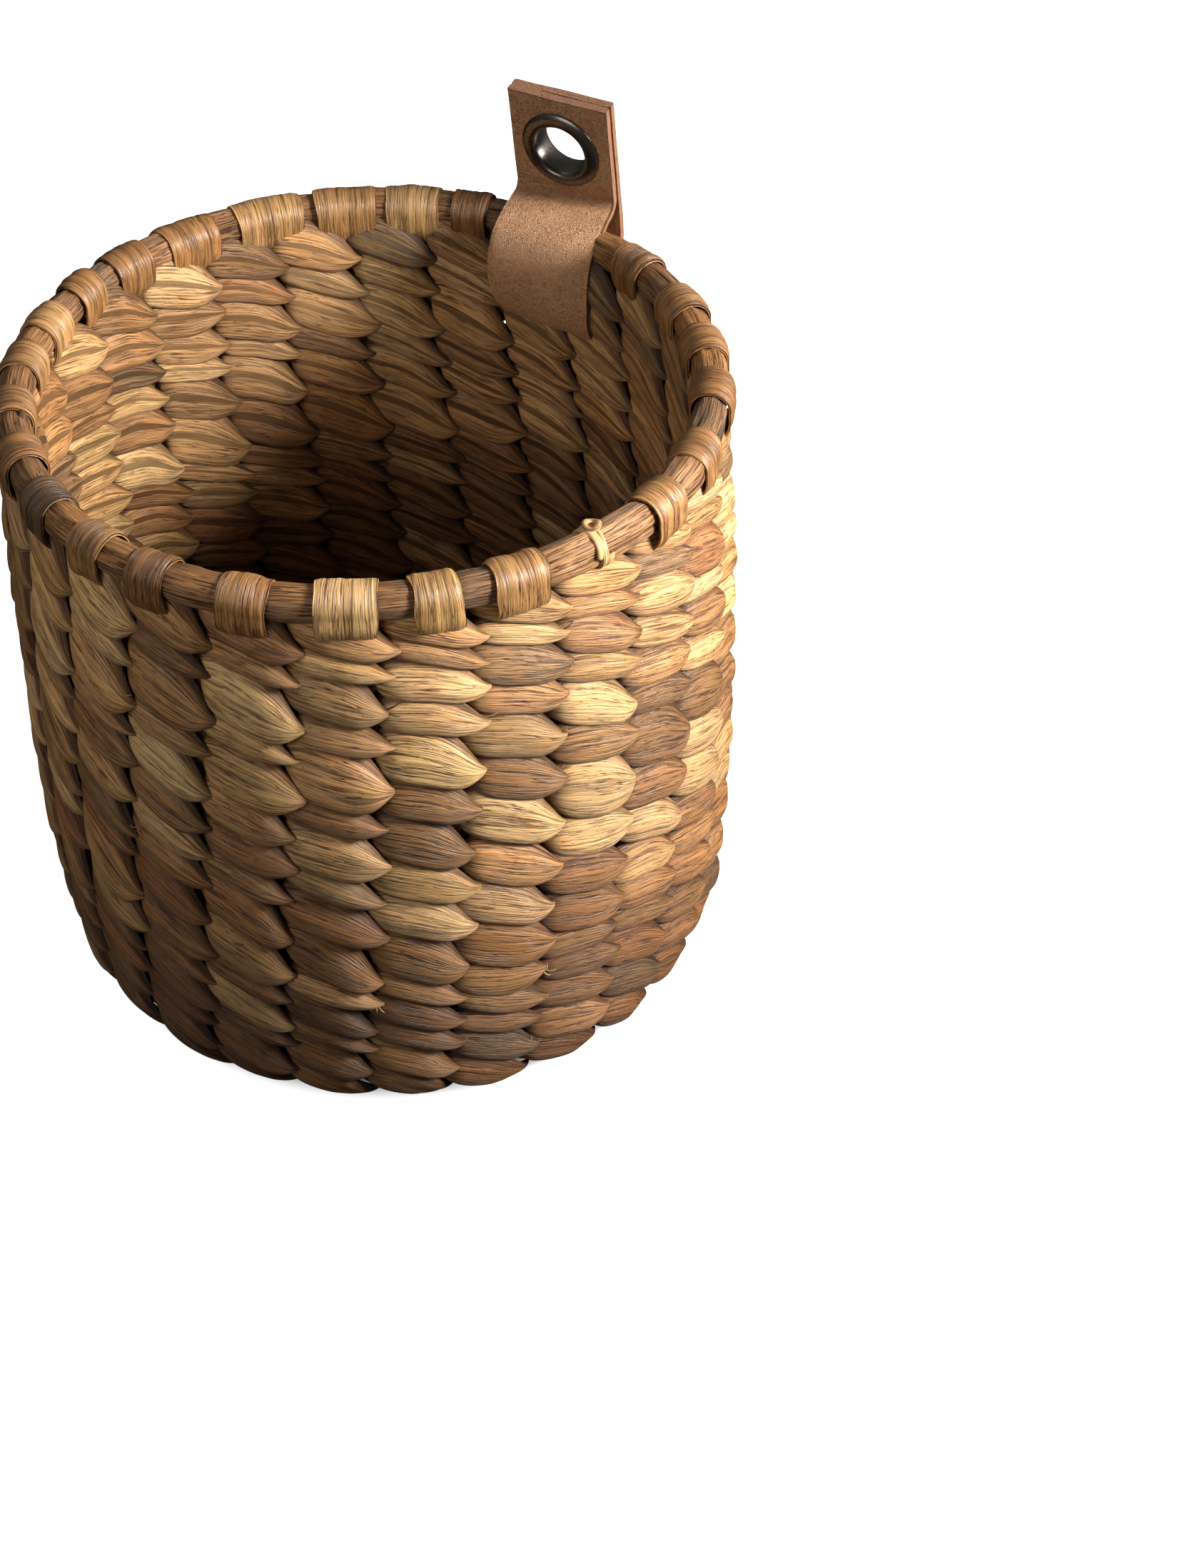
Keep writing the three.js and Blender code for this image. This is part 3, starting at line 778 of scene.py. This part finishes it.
# ------------------------------------------------------------------ lashings over the rim
def lashing(name, phi, width, col, seed, skew, rng):
    R, Z = rim_point(np.array([phi]))
    R, Z = float(R[0]), float(Z[0])
    ro = 6.75
    path = [(-1.5, -13.5), (-4.2, -10.0), (-6.2, -6.0)]
    for deg in np.linspace(186, -10, 15):
        t = math.radians(deg)
        path.append((ro * math.cos(t) * 1.03, ro * math.sin(t)))
    path += [(7.0, -4.6), (6.4, -7.6), (4.4, -10.6), (1.2, -13.4)]
    pl = smooth_line(path, 58)
    n = len(pl)
    f = np.linspace(0, 1, n)
    wprof = width / 2 * (0.94 + 0.06 * np.sin(f * math.pi))
    M = 26
    g = np.linspace(-1, 1, M)
    tang = np.gradient(pl, axis=0)
    tang /= np.linalg.norm(tang, axis=1)[:, None]
    nrm = np.stack([-tang[:, 1], tang[:, 0]], -1)
    sign = np.sign((nrm * (pl - np.array([0, -3.0]))).sum(1).mean())
    nrm = nrm * sign
    ridge = 0.20 * vnoise(g[None, :] * 5 + 20, f[:, None] * 2, seed) + 0.10 * vnoise(g[None, :] * 12 + 40, f[:, None] * 3, seed + 1)
    lift = 0.45 * vnoise(g[None, :] * 1.3 + 9, f[:, None] * 2.5, seed + 2)
    crown = 0.25 * (1 - g[None, :] ** 2)
    edge_wave = 0.5 * vnoise(f[:, None] * 7, np.sign(g)[None, :] * 3 + 10, seed + 3) * np.abs(g[None, :]) ** 3
    verts, fib, aux = [], [], []
    e = np.array([-math.sin(phi), math.cos(phi), 0.0])
    rd = np.array([math.cos(phi), math.sin(phi), 0.0])
    thick = 1.0 * (1 - 0.35 * np.abs(g[None, :]) ** 8) * np.ones((n, 1))
    travel = np.concatenate([[0], np.cumsum(np.linalg.norm(np.diff(pl, axis=0), axis=1))])
    for layer in (1, 0):
        off = (ridge + lift + crown) + (thick if layer else 0) - 0.2
        across = g[None, :] * wprof[:, None] + edge_wave + skew * (f[:, None] - 0.5) * 6.0
        # follow the rim's curve
        dphi = across / R
        rr = R + pl[:, 0:1] + nrm[:, 0:1] * off
        zz = Z + pl[:, 1:2] + nrm[:, 1:2] * off
        P = np.stack([rr * np.cos(phi + dphi), rr * np.sin(phi + dphi), zz], -1)
        verts.append(P.reshape(-1, 3))
        fib.append(np.stack([travel[:, None] * np.ones(M), across + 25 + 0 * f[:, None], np.full((n, M), seed * 1.3 % 50)], -1).reshape(-1, 3))
    verts, fib = np.concatenate(verts), np.concatenate(fib)
    nm = n * M
    idx = np.arange(nm).reshape(n, M)
    top = np.stack([idx[:-1, :-1], idx[:-1, 1:], idx[1:, 1:], idx[1:, :-1]], -1).reshape(-1, 4)
    bot = top[:, ::-1] + nm
    def wall(a, b):
        return np.stack([a, b, b + nm, a + nm], -1)
    w1 = wall(idx[1:, 0], idx[:-1, 0])
    w2 = wall(idx[:-1, -1], idx[1:, -1])
    w3 = wall(idx[0, :-1], idx[0, 1:])
    w4 = wall(idx[-1, 1:], idx[-1, :-1])
    quads = np.concatenate([top, bot, w1, w2, w3, w4])
    if volume_sign(verts, quads) < 0:
        quads = quads[:, ::-1]
    o = make_mesh(name, verts, quads, None, {
        "fib": ("FLOAT_VECTOR", fib),
        "tone": ("FLOAT_COLOR", np.concatenate([np.repeat(np.array([col]), len(verts), 0), np.ones((len(verts), 1))], 1)),
        "aux": ("FLOAT_VECTOR", np.tile([0.0, 1.0, 0.0], (len(verts), 1)))})
    o.data.materials.append(MAT_LASH)
    return o


for i, (deg, width, colour) in enumerate(LASHINGS):
    L = lash_at[i]
    col = np.array(colour) * rng.uniform(0.80, 0.98)
    o = lashing(f"lashing_{i + 1:02d}", L, width, col, 1300 + i * 11, rng.uniform(-0.5, 0.5), rng)
    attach(o, "basket")


# a thin pale tie of two turns with a little knot
bag = Bag()
tphi = math.radians(343.6)
tr_, tz_ = (float(x[0]) for x in rim_point(np.array([tphi])))
turns = np.linspace(0, 2 * 2 * math.pi, 120)
off = -2.0 + 4.0 * turns / turns[-1] + 0.35 * np.sin(turns * 1.7)
rr_ = 6.75 + 0.25 * np.sin(turns * 2.3)
ln = []
for q_, o_, r_ in zip(turns, off, rr_):
    a_ = tphi + o_ / tr_
    R_ = tr_ + r_ * math.cos(q_)
    ln.append((R_ * math.cos(a_), R_ * math.sin(a_), tz_ + r_ * math.sin(q_)))
tang_dir = np.array([-math.sin(tphi), math.cos(tphi), 0.0])
sweep(bag, ln, tang_dir[None, :], 1.5, 0.75, 14, np.array(STRAW[0]) * 1.05, 3100, power=0.85, wrinkle=0.10, vspan=9)
kn = []
for q_ in np.linspace(0, 2 * math.pi, 40, endpoint=False):
    a_ = tphi + (0.8 + 2.4 * math.cos(q_)) / tr_
    R_ = tr_ - 1.2 + 2.3 * math.sin(q_)
    kn.append((R_ * math.cos(a_), R_ * math.sin(a_), tz_ + 7.6 + 0.4 * math.sin(2 * q_)))
sweep(bag, kn, np.array([0, 0, 1.0])[None, :], 0.9, 1.0, 12, np.array(STRAW[1]), 3200, closed=True, power=0.9, wrinkle=0.08, vspan=7)
tie = bag.build("rim_tie", MAT_LASH)
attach(tie, "basket")

# frayed ends: short curled fibres standing off some of the tips
bag = Bag()
rng = np.random.default_rng(9090)
spots = [(int(rng.integers(N)), int(rng.integers(1, ROWS - 1))) for _ in range(30)]
for i_, j_ in spots:
    e0 = centres[j_][i_] - 4.6
    s0 = i_ + 0.5 + rng.normal(0, 0.05)
    ph0 = FIRST + s0 * PITCH + float(lean_at(np.array([e0]))[0])
    col = np.array(FAMILIES[rng.choice([0, 1, 2])][0]) * rng.uniform(0.7, 1.1)
    for f_ in range(int(rng.integers(2, 5))):
        L_ = rng.uniform(3.5, 8.0)
        d0 = rng.uniform(-0.5, 1.0)
        curl = rng.normal(0, 1.0)
        tt = np.linspace(0, 1, 12)
        dph = (d0 * L_ * tt + curl * 1.2 * tt ** 2) / 125.0
        del_ = (rng.uniform(-0.6, 0.9) * L_ * tt + curl * tt ** 2)
        nn = 3.6 + 3.0 * np.sin(tt * rng.uniform(1.4, 2.6))
        pts = surf(ph0 + dph, e0 + del_, nn)
        w_ = 0.42 * (1 - 0.6 * tt)
        sweep(bag, pts, np.array([[math.cos(ph0), math.sin(ph0), 0.3]]), w_ * 0.45, w_, 6, col, 4000 + i_, power=1.0, wrinkle=0.02, vspan=3)
fray = bag.build("frayed_fibres", MAT_LASH)
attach(fray, "basket")


# ------------------------------------------------------------------ leather strap
def leather_material(name, edge=False):
    m, nt, b = new_material(name)
    k = Nodes(nt)
    uv = k.node("ShaderNodeAttribute", attribute_name="fib").outputs["Vector"]
    if edge:
        layers = k.noise(k.scale_vec(uv, 0.25, 1.0, 2.6), 1.0, 4, 0.65)
        fuzz = k.noise(k.scale_vec(uv, 2.2, 2.2, 3.5), 1.0, 3, 0.6)
        c = k.ramp(layers, [(0.30, srgb(74, 44, 30)), (0.46, srgb(132, 92, 68)), (0.75, srgb(164, 122, 94))])
        c = k.mix(k.smooth(fuzz, 0.5, 0.75, 0, 0.45), c, srgb(182, 144, 116))
        k.link(c, b.inputs["Base Color"])
        b.inputs["Roughness"].default_value = 0.9
        b.inputs["Specular IOR Level"].default_value = 0.25
        h = k.math("ADD", layers, k.math("MULTIPLY", fuzz, 0.8))
        dist = 0.0006
    else:
        vor = k.node("ShaderNodeTexVoronoi", feature="DISTANCE_TO_EDGE")
        k.link(k.scale_vec(uv, 1.0, 1.0, 1.0), vor.inputs["Vector"])
        vor.inputs["Scale"].default_value = 1.35
        vor.inputs["Randomness"].default_value = 1.0
        cell = k.smooth(vor.outputs["Distance"], 0.0, 0.22)
        pore = k.noise(uv, 2.6, 3, 0.6)
        cloud = k.noise(uv, 0.06, 4, 0.55)
        mottle = k.noise(uv, 0.45, 3, 0.6)
        c = k.ramp(cloud, [(0.3, srgb(190, 140, 98)), (0.5, srgb(204, 154, 110)), (0.7, srgb(215, 166, 122))])
        c = k.mix(k.smooth(mottle, 0.35, 0.7, 0.0, 0.30), c, srgb(180, 125, 86))
        dots = k.noise(uv, 0.82, 2, 0.55)
        c = k.mix(k.smooth(dots, 0.50, 0.62, 0.0, 0.36), c, srgb(138, 88, 58))
        c = k.mix(k.math("MULTIPLY", k.math("SUBTRACT", 1.0, cell), 0.28), c, srgb(130, 84, 56))
        stretch = k.node("ShaderNodeAttribute", attribute_name="aux").outputs["Vector"]
        sep = k.node("ShaderNodeSeparateXYZ")
        k.link(stretch, sep.inputs[0])
        c = k.mix(k.math("MULTIPLY", sep.outputs[0], 0.30), c, srgb(204, 158, 116))
        k.link(c, b.inputs["Base Color"])
        k.link(k.math("ADD", k.math("MULTIPLY", mottle, 0.2), 0.40), b.inputs["Roughness"])
        b.inputs["Specular IOR Level"].default_value = 0.45
        h = k.math("ADD", k.math("MULTIPLY", cell, 0.7), k.math("MULTIPLY", pore, 0.6))
        h = k.math("SUBTRACT", h, k.smooth(dots, 0.54, 0.68, 0.0, 1.0))
        crease = k.noise(k.scale_vec(uv, 0.9, 0.10, 1.0, (3, 2, 1)), 1.0, 2, 0.5, 0.4)
        h = k.math("ADD", h, k.math("MULTIPLY", k.math("MULTIPLY", crease, sep.outputs[1]), 9.0))
        dist = 0.00040
    bp = k.node("ShaderNodeBump")
    bp.inputs["Strength"].default_value = 1.0
    bp.inputs["Distance"].default_value = dist
    k.link(h, bp.inputs["Height"])
    k.link(bp.outputs[0], b.inputs["Normal"])
    return m


MAT_LEATHER = leather_material("leather_tan")
MAT_EDGE = leather_material("leather_cut_edge", edge=True)


def tab_point(y, z):
    return (TAB_FOOT[0] + y * math.cos(TAB_LEAN) - z * math.sin(TAB_LEAN),
            TAB_FOOT[1] + y * math.sin(TAB_LEAN) + z * math.cos(TAB_LEAN))


YAW = math.radians(5.5)


def turned(p):
    """The tab stands turned a little about the vertical, more the higher it is above the rim."""
    p = np.array(p, float)
    f = np.clip((p[..., 2] - (RIM_Z - 2)) / 20.0, 0, 1)
    f = f * f * (3 - 2 * f)
    x, y = p[..., 0].copy(), p[..., 1] - (RIM_R + 4.5)
    a = YAW * f
    p[..., 0] = x * np.cos(a) - y * np.sin(a) + 1.0 * np.clip((p[..., 2] - (RIM_Z - 42)) / 40.0, 0, 1)
    p[..., 1] = x * np.sin(a) + y * np.cos(a) + RIM_R + 4.5 + 1.2 * f
    return p


HT = STRAP_T / 2
mid = HT + 0.12
route = [tab_point(-mid, TAB_HEIGHT), tab_point(-mid, 30), tab_point(-mid, 20), tab_point(-mid, 10), tab_point(-mid, 4),
         tab_point(-mid - 0.1, -0.5), (3.2, 10.9), (-0.6, 8.9), (-5.4, 5.6), (-9.8, 0.8), (-12.3, -4.8), (-13.4, -11), (-13.3, -18),
         (-12.3, -24.0), (-10.6, -29.0), (-8.2, -33.4), (-5.0, -36.8), (-1.0, SLOT_H), (3.6, SLOT_H), (7.4, SLOT_H + 0.8), (9.3, -34.6),
         (10.3, -28), (11.2, -18), (12.1, -9), (12.4, -2), (11.3, 5.5), tab_point(mid + 0.5, -3.2), tab_point(mid + 0.1, 0), tab_point(mid, 4),
         tab_point(mid, 10), tab_point(mid, 20), tab_point(mid, 30), tab_point(mid, TAB_HEIGHT)]
pl = smooth_line(route, 260)
n = len(pl)
travel = np.concatenate([[0], np.cumsum(np.linalg.norm(np.diff(pl, axis=0), axis=1))])
STRAP_LENGTH = float(travel[-1])
tang = np.gradient(pl, axis=0)
tang /= np.linalg.norm(tang, axis=1)[:, None]
nrm = np.stack([tang[:, 1], -tang[:, 0]], -1)         # points to the outside of the loop
if nrm[2, 0] > 0:
    nrm = -nrm
M = 40
g = np.linspace(-1, 1, M)
bev = 0.45
X = g * STRAP_W / 2
edge_drop = np.where(np.abs(X) > STRAP_W / 2 - 1.2, ((np.abs(X) - (STRAP_W / 2 - 1.2)) / 1.2) ** 2 * bev, 0)
# the left side of the loop bulges further in than the right side
bulge = np.exp(-((pl[:, 1] + 8) / 20.0) ** 4) * np.clip((2.0 - pl[:, 0]) / 6.0, 0, 1)
twist = (-3.3 * bulge)[:, None] * (-g)[None, :]
wav = 0.25 * vnoise(travel[:, None] / 14.0, g[None, :] * 1.5 + 5, 71)
sag = 0.5 * bulge[:, None] * (1 - g[None, :] ** 2)
layers = []
for layer in (1, -1):
    off = layer * (HT - edge_drop[None, :]) + wav + sag
    yy = RIM_R + pl[:, 0:1] + nrm[:, 0:1] * off + twist * 1.0
    zz = RIM_Z + pl[:, 1:2] + nrm[:, 1:2] * off
    layers.append(turned(np.stack([np.broadcast_to(X, (n, M)), yy, zz], -1)))
verts = np.concatenate([l.reshape(-1, 3) for l in layers])
nm = n * M
idx = np.arange(nm).reshape(n, M)
top = np.stack([idx[:-1, :-1], idx[:-1, 1:], idx[1:, 1:], idx[1:, :-1]], -1).reshape(-1, 4)
bot = top[:, ::-1] + nm
def wall(a, b):
    return np.stack([a, b, b + nm, a + nm], -1)
sides = np.concatenate([wall(idx[1:, 0], idx[:-1, 0]), wall(idx[:-1, -1], idx[1:, -1]), wall(idx[0, :-1], idx[0, 1:]), wall(idx[-1, 1:], idx[-1, :-1])])
quads = np.concatenate([top, bot, sides])
is_side = np.concatenate([np.zeros(len(top) + len(bot), int), np.ones(len(sides), int)])
if volume_sign(verts, quads) < 0:
    quads = quads[:, ::-1]
fibs, auxs = [], []
crease = np.exp(-((travel - (TAB_HEIGHT - 0.5)) / 3.6) ** 2)
for li, layer in enumerate((1, -1)):
    fibs.append(np.stack([travel[:, None] * np.ones(M), np.broadcast_to(X + 40, (n, M)), np.full((n, M), layer * HT)], -1).reshape(-1, 3))
    st = (bulge * 0.8)[:, None] * np.ones(M) if layer == 1 else np.zeros((n, M))
    auxs.append(np.stack([st, crease[:, None] * np.ones(M), np.zeros((n, M))], -1).reshape(-1, 3))
strap = make_mesh("leather_strap", verts, quads, None, {
    "fib": ("FLOAT_VECTOR", np.concatenate(fibs)),
    "aux": ("FLOAT_VECTOR", np.concatenate(auxs))})
strap.data.materials.append(MAT_LEATHER)
strap.data.materials.append(MAT_EDGE)
strap.data.polygons.foreach_set("material_index", is_side.astype(np.int32))
side_idx = np.nonzero(is_side)[0]
flags = np.ones(len(quads), bool)
flags[side_idx] = False
strap.data.polygons.foreach_set("use_smooth", flags)
strap.data.update()

# eyelet hole through both layers
ey, ez = tab_point(0, EYE_UP)
cyl_me = bpy.data.meshes.new("cut")
seg = 64
cv, cf = [], []
for s_ in (-1, 1):
    for i in range(seg):
        t = 2 * math.pi * i / seg
        y, z = tab_point(s_ * 14, EYE_UP + 11.2 * math.sin(t))
        cv.append(tuple(turned((11.2 * math.cos(t), RIM_R + y, RIM_Z + z)) * 0.001))
cf = [[i, (i + 1) % seg, seg + (i + 1) % seg, seg + i] for i in range(seg)] + [list(range(seg))[::-1], list(range(seg, 2 * seg))]
cyl_me.from_pydata(cv, [], cf)
cyl = bpy.data.objects.new("cut", cyl_me)
bpy.context.scene.collection.objects.link(cyl)
import bmesh
bm = bmesh.new()
bm.from_mesh(cyl_me)
bmesh.ops.recalc_face_normals(bm, faces=bm.faces)
bm.to_mesh(cyl_me)
bm.free()
cyl_me.materials.append(MAT_EDGE)
mod = strap.modifiers.new("hole", "BOOLEAN")
mod.operation = "DIFFERENCE"
mod.object = cyl
mod.solver = "EXACT"
mod.material_mode = "TRANSFER"
bpy.context.view_layer.update()
dg = bpy.context.evaluated_depsgraph_get()
cut = bpy.data.meshes.new_from_object(strap.evaluated_get(dg), preserve_all_data_layers=True, depsgraph=dg)
strap.modifiers.clear()
strap.data = cut
bpy.data.objects.remove(cyl)
# the cut drops the values along the strap: take them again from the nearest point of the uncut one
from mathutils import kdtree
tree = kdtree.KDTree(len(verts))
for i, v in enumerate(verts * 0.001):
    tree.insert(v, i)
tree.balance()
near = np.array([tree.find(v.co)[1] for v in cut.vertices])
for key, data in (("fib", np.concatenate(fibs)), ("aux", np.concatenate(auxs))):
    if key not in cut.attributes:
        cut.attributes.new(key, "FLOAT_VECTOR", "POINT")
    cut.attributes[key].data.foreach_set("vector", data[near].astype(np.float32).ravel())
cut.update()
print("STRAP length mm", round(STRAP_LENGTH, 1), "faces", len(strap.data.polygons))
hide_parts("strap_loop", "strap_tab_inner", "strap_tab_outer")
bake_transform(strap)


# ------------------------------------------------------------------ eyelet
def metal_material():
    m, nt, b = new_material("antique_metal")
    k = Nodes(nt)
    co = k.node("ShaderNodeTexCoord").outputs["Object"]
    big = k.noise(co, 90, 4, 0.6)
    small = k.noise(co, 700, 3, 0.6)
    c = k.ramp(big, [(0.3, (0.085, 0.075, 0.064)), (0.6, (0.14, 0.120, 0.100)), (0.8, (0.21, 0.17, 0.135))])
    k.link(c, b.inputs["Base Color"])
    b.inputs["Metallic"].default_value = 0.9
    k.link(k.math("ADD", k.math("MULTIPLY", small, 0.12), 0.22), b.inputs["Roughness"])
    b.inputs["Coat Weight"].default_value = 0.35
    b.inputs["Coat Roughness"].default_value = 0.22
    bp = k.node("ShaderNodeBump")
    bp.inputs["Strength"].default_value = 0.6
    bp.inputs["Distance"].default_value = 0.00006
    k.link(small, bp.inputs["Height"])
    k.link(bp.outputs[0], b.inputs["Normal"])
    return m


MAT_METAL = metal_material()


def lathe(name, prof, seg=96):
    """prof: closed list of (radius, y along the eyelet's axis)."""
    p = np.array(prof, float)
    k = len(p)
    t = 2 * math.pi * np.arange(seg) / seg
    V = []
    for ti in t:
        for r, y in p:
            yy, zz = tab_point(y, EYE_UP + r * math.sin(ti))
            V.append((r * math.cos(ti), RIM_R + yy, RIM_Z + zz))
    V = turned(np.array(V))
    quads = tube_quads(seg, k, True)
    if volume_sign(V, quads) < 0:
        quads = quads[:, ::-1]
    o = make_mesh(name, V, quads)
    o.data.materials.append(MAT_METAL)
    return o


def arc(cx, cy, r, a0, a1, n):
    return [(cx + r * math.cos(math.radians(a0 + (a1 - a0) * i / (n - 1))), cy + r * math.sin(math.radians(a0 + (a1 - a0) * i / (n - 1)))) for i in range(n)]


F = 2 * HT + 0.12                                   # leather face from the middle plane
# flange on the mouth side: thin outer lip, domed ring, then the barrel's mouth
prof = [(15.5, -F - 0.15), (15.55, -F - 0.45), (15.2, -F - 0.85), (14.4, -F - 1.35), (13.4, -F - 1.75), (12.4, -F - 1.95),
        (11.5, -F - 1.95), (10.8, -F - 1.75), (10.35, -F - 1.3), (10.1, -F - 0.6), (10.0, 0.0), (10.0, F + 1.0), (10.1, F + 1.7),
        (10.5, F + 2.3), (11.3, F + 2.6), (12.2, F + 2.5), (12.9, F + 2.1), (13.1, F + 1.7), (12.6, F + 1.6), (11.6, F + 1.55),
        (10.95, F + 1.2), (10.85, F + 0.4), (10.85, -F + 0.2), (11.0, -F - 0.15)]
eye = lathe("eyelet_ring", prof)
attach(eye, "hanger_tab")
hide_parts("eyelet")
prof = [(11.2, F + 0.12), (15.1, F + 0.12), (15.3, F + 0.3), (15.2, F + 0.7), (14.6, F + 1.1), (13.6, F + 1.4), (12.4, F + 1.5), (11.3, F + 1.5), (11.15, F + 1.2)]
wash = lathe("eyelet_back_washer", prof)
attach(wash, "hanger_tab")
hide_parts("eyelet_washer")

# ------------------------------------------------------------------ floor, light, camera
floor_me = bpy.data.meshes.new("floor")
S = 7.5
floor_me.from_pydata([(-S, -S, 0), (S, -S, 0), (S, S, 0), (-S, S, 0)], [], [(0, 1, 2, 3)])
floor = bpy.data.objects.new("floor", floor_me)
floor.location.z = -0.0008
bpy.context.scene.collection.objects.link(floor)
fm, nt, b = new_material("floor_pale_painted_shadow")
b.inputs["Base Color"].default_value = (0.6, 0.6, 0.6, 1)
b.inputs["Roughness"].default_value = 0.9
b.inputs["Specular IOR Level"].default_value = 0.1
b.inputs["Emission Color"].default_value = (1, 1, 1, 1)
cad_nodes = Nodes(nt)
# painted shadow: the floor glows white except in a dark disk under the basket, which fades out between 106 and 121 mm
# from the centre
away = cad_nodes.node("ShaderNodeVectorMath", operation="LENGTH")
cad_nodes.link(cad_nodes.node("ShaderNodeTexCoord").outputs["Object"], away.inputs[0])
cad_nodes.link(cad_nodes.smooth(away.outputs["Value"], 0.106, 0.121, 0.0, 0.95), b.inputs["Emission Strength"])
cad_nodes.link(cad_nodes.smooth(away.outputs["Value"], 0.106, 0.121, 0.02, 0.6), b.inputs["Base Color"])
floor.visible_diffuse = False
floor.visible_glossy = False
floor_me.materials.append(fm)

wall_me = bpy.data.meshes.new("backdrop")
wv = [(7 * math.cos(t) * f, 7 * math.sin(t) * f, h) for h, f in ((-0.01, 1), (3, 1), (5.5, 0.7), (7, 0.02))
      for t in np.linspace(0, 2 * math.pi, 48, endpoint=False)]
wf = [(a * 48 + i, a * 48 + (i + 1) % 48, (a + 1) * 48 + (i + 1) % 48, (a + 1) * 48 + i) for a in range(3) for i in range(48)]
wall_me.from_pydata(wv, [], wf)
backdrop = bpy.data.objects.new("backdrop", wall_me)
bpy.context.scene.collection.objects.link(backdrop)
wm, wnt, wb = new_material("backdrop_pale")
wb.inputs["Base Color"].default_value = (0, 0, 0, 1)
wb.inputs["Specular IOR Level"].default_value = 0.0
wb.inputs["Emission Color"].default_value = (1, 1, 1, 1)
wb.inputs["Emission Strength"].default_value = 1.0
wall_me.materials.append(wm)
for st in (backdrop,):
    st.visible_diffuse = False
    st.visible_glossy = False
    st.visible_shadow = False

world = bpy.context.scene.world or bpy.data.worlds.new("World")
bpy.context.scene.world = world
world.use_nodes = True
wk = Nodes(world.node_tree)
bg = world.node_tree.nodes.get("Background") or world.node_tree.nodes.new("ShaderNodeBackground")
sky = wk.node("ShaderNodeSeparateXYZ")
wk.link(wk.node("ShaderNodeTexCoord").outputs["Generated"], sky.inputs[0])
wk.link(wk.smooth(sky.outputs[2], -0.12, 0.55, 0.02, 0.14), bg.inputs[1])
bg.inputs[0].default_value = (1.0, 1.0, 1.0, 1)

TURN = math.radians(33.0)                            # the picture's right, forward and up in this frame
right = np.array([math.cos(TURN), math.sin(TURN), 0])
fwd = np.array([-math.sin(TURN), math.cos(TURN), 0])


def area(name, place, target, size, power, colour=(1, 1, 1)):
    li = bpy.data.lights.new(name, "AREA")
    li.shape = "RECTANGLE"
    li.size, li.size_y = size
    li.energy = power
    li.color = colour
    o = bpy.data.objects.new(name, li)
    bpy.context.scene.collection.objects.link(o)
    o.location = place
    o.rotation_mode = "QUATERNION"
    o.rotation_quaternion = (Vector(target) - Vector(place)).to_track_quat("-Z", "Y")
    return o


def at(rgt, fw, up):
    p = right * rgt + fwd * fw
    return (p[0], p[1], up)


area("key", at(1.18, -0.32, 0.84), (0, 0, 0.14), (0.38, 0.38), 49, (1.0, 0.985, 0.965))
area("side", at(1.30, 0.02, 0.40), (0, 0, 0.14), (0.5, 0.5), 16, (1.0, 0.99, 0.975))
area("fill", at(-0.75, -1.15, 0.95), (0, 0, 0.12), (0.9, 0.9), 9.0, (1.0, 0.99, 0.98))

cam_data = bpy.data.cameras.new("camera")
cam = bpy.data.objects.new("camera", cam_data)
bpy.context.scene.collection.objects.link(cam)
bpy.context.scene.camera = cam
cam_data.sensor_width = 36
cam_data.sensor_fit = "AUTO"
cam_data.lens = 36 * 4052.3 / 2197
cam_data.shift_x = (840 - 828.3) / 2197
cam_data.shift_y = -(1098.5 - 1092.8) / 2197
cam_data.clip_start, cam_data.clip_end = 0.01, 100
cx, cy, cz = 0.07715, -0.83229, 0.79577
c, s = math.cos(TURN), math.sin(TURN)
cam.location = (c * cx - s * cy, s * cx + c * cy, cz)
pitch, roll = math.radians(41.85), math.radians(0.31)
cam.rotation_mode = "XYZ"
cam.matrix_world = (Matrix.Translation(cam.location) @ Matrix.Rotation(TURN, 4, "Z")
                    @ Matrix.Rotation(math.pi / 2 - pitch, 4, "X") @ Matrix.Rotation(-roll, 4, "Z"))

sc = bpy.context.scene
sc.view_settings.view_transform = "Standard"
sc.view_settings.look = "None"
sc.view_settings.exposure = 0.0
sc.view_settings.gamma = 1.0
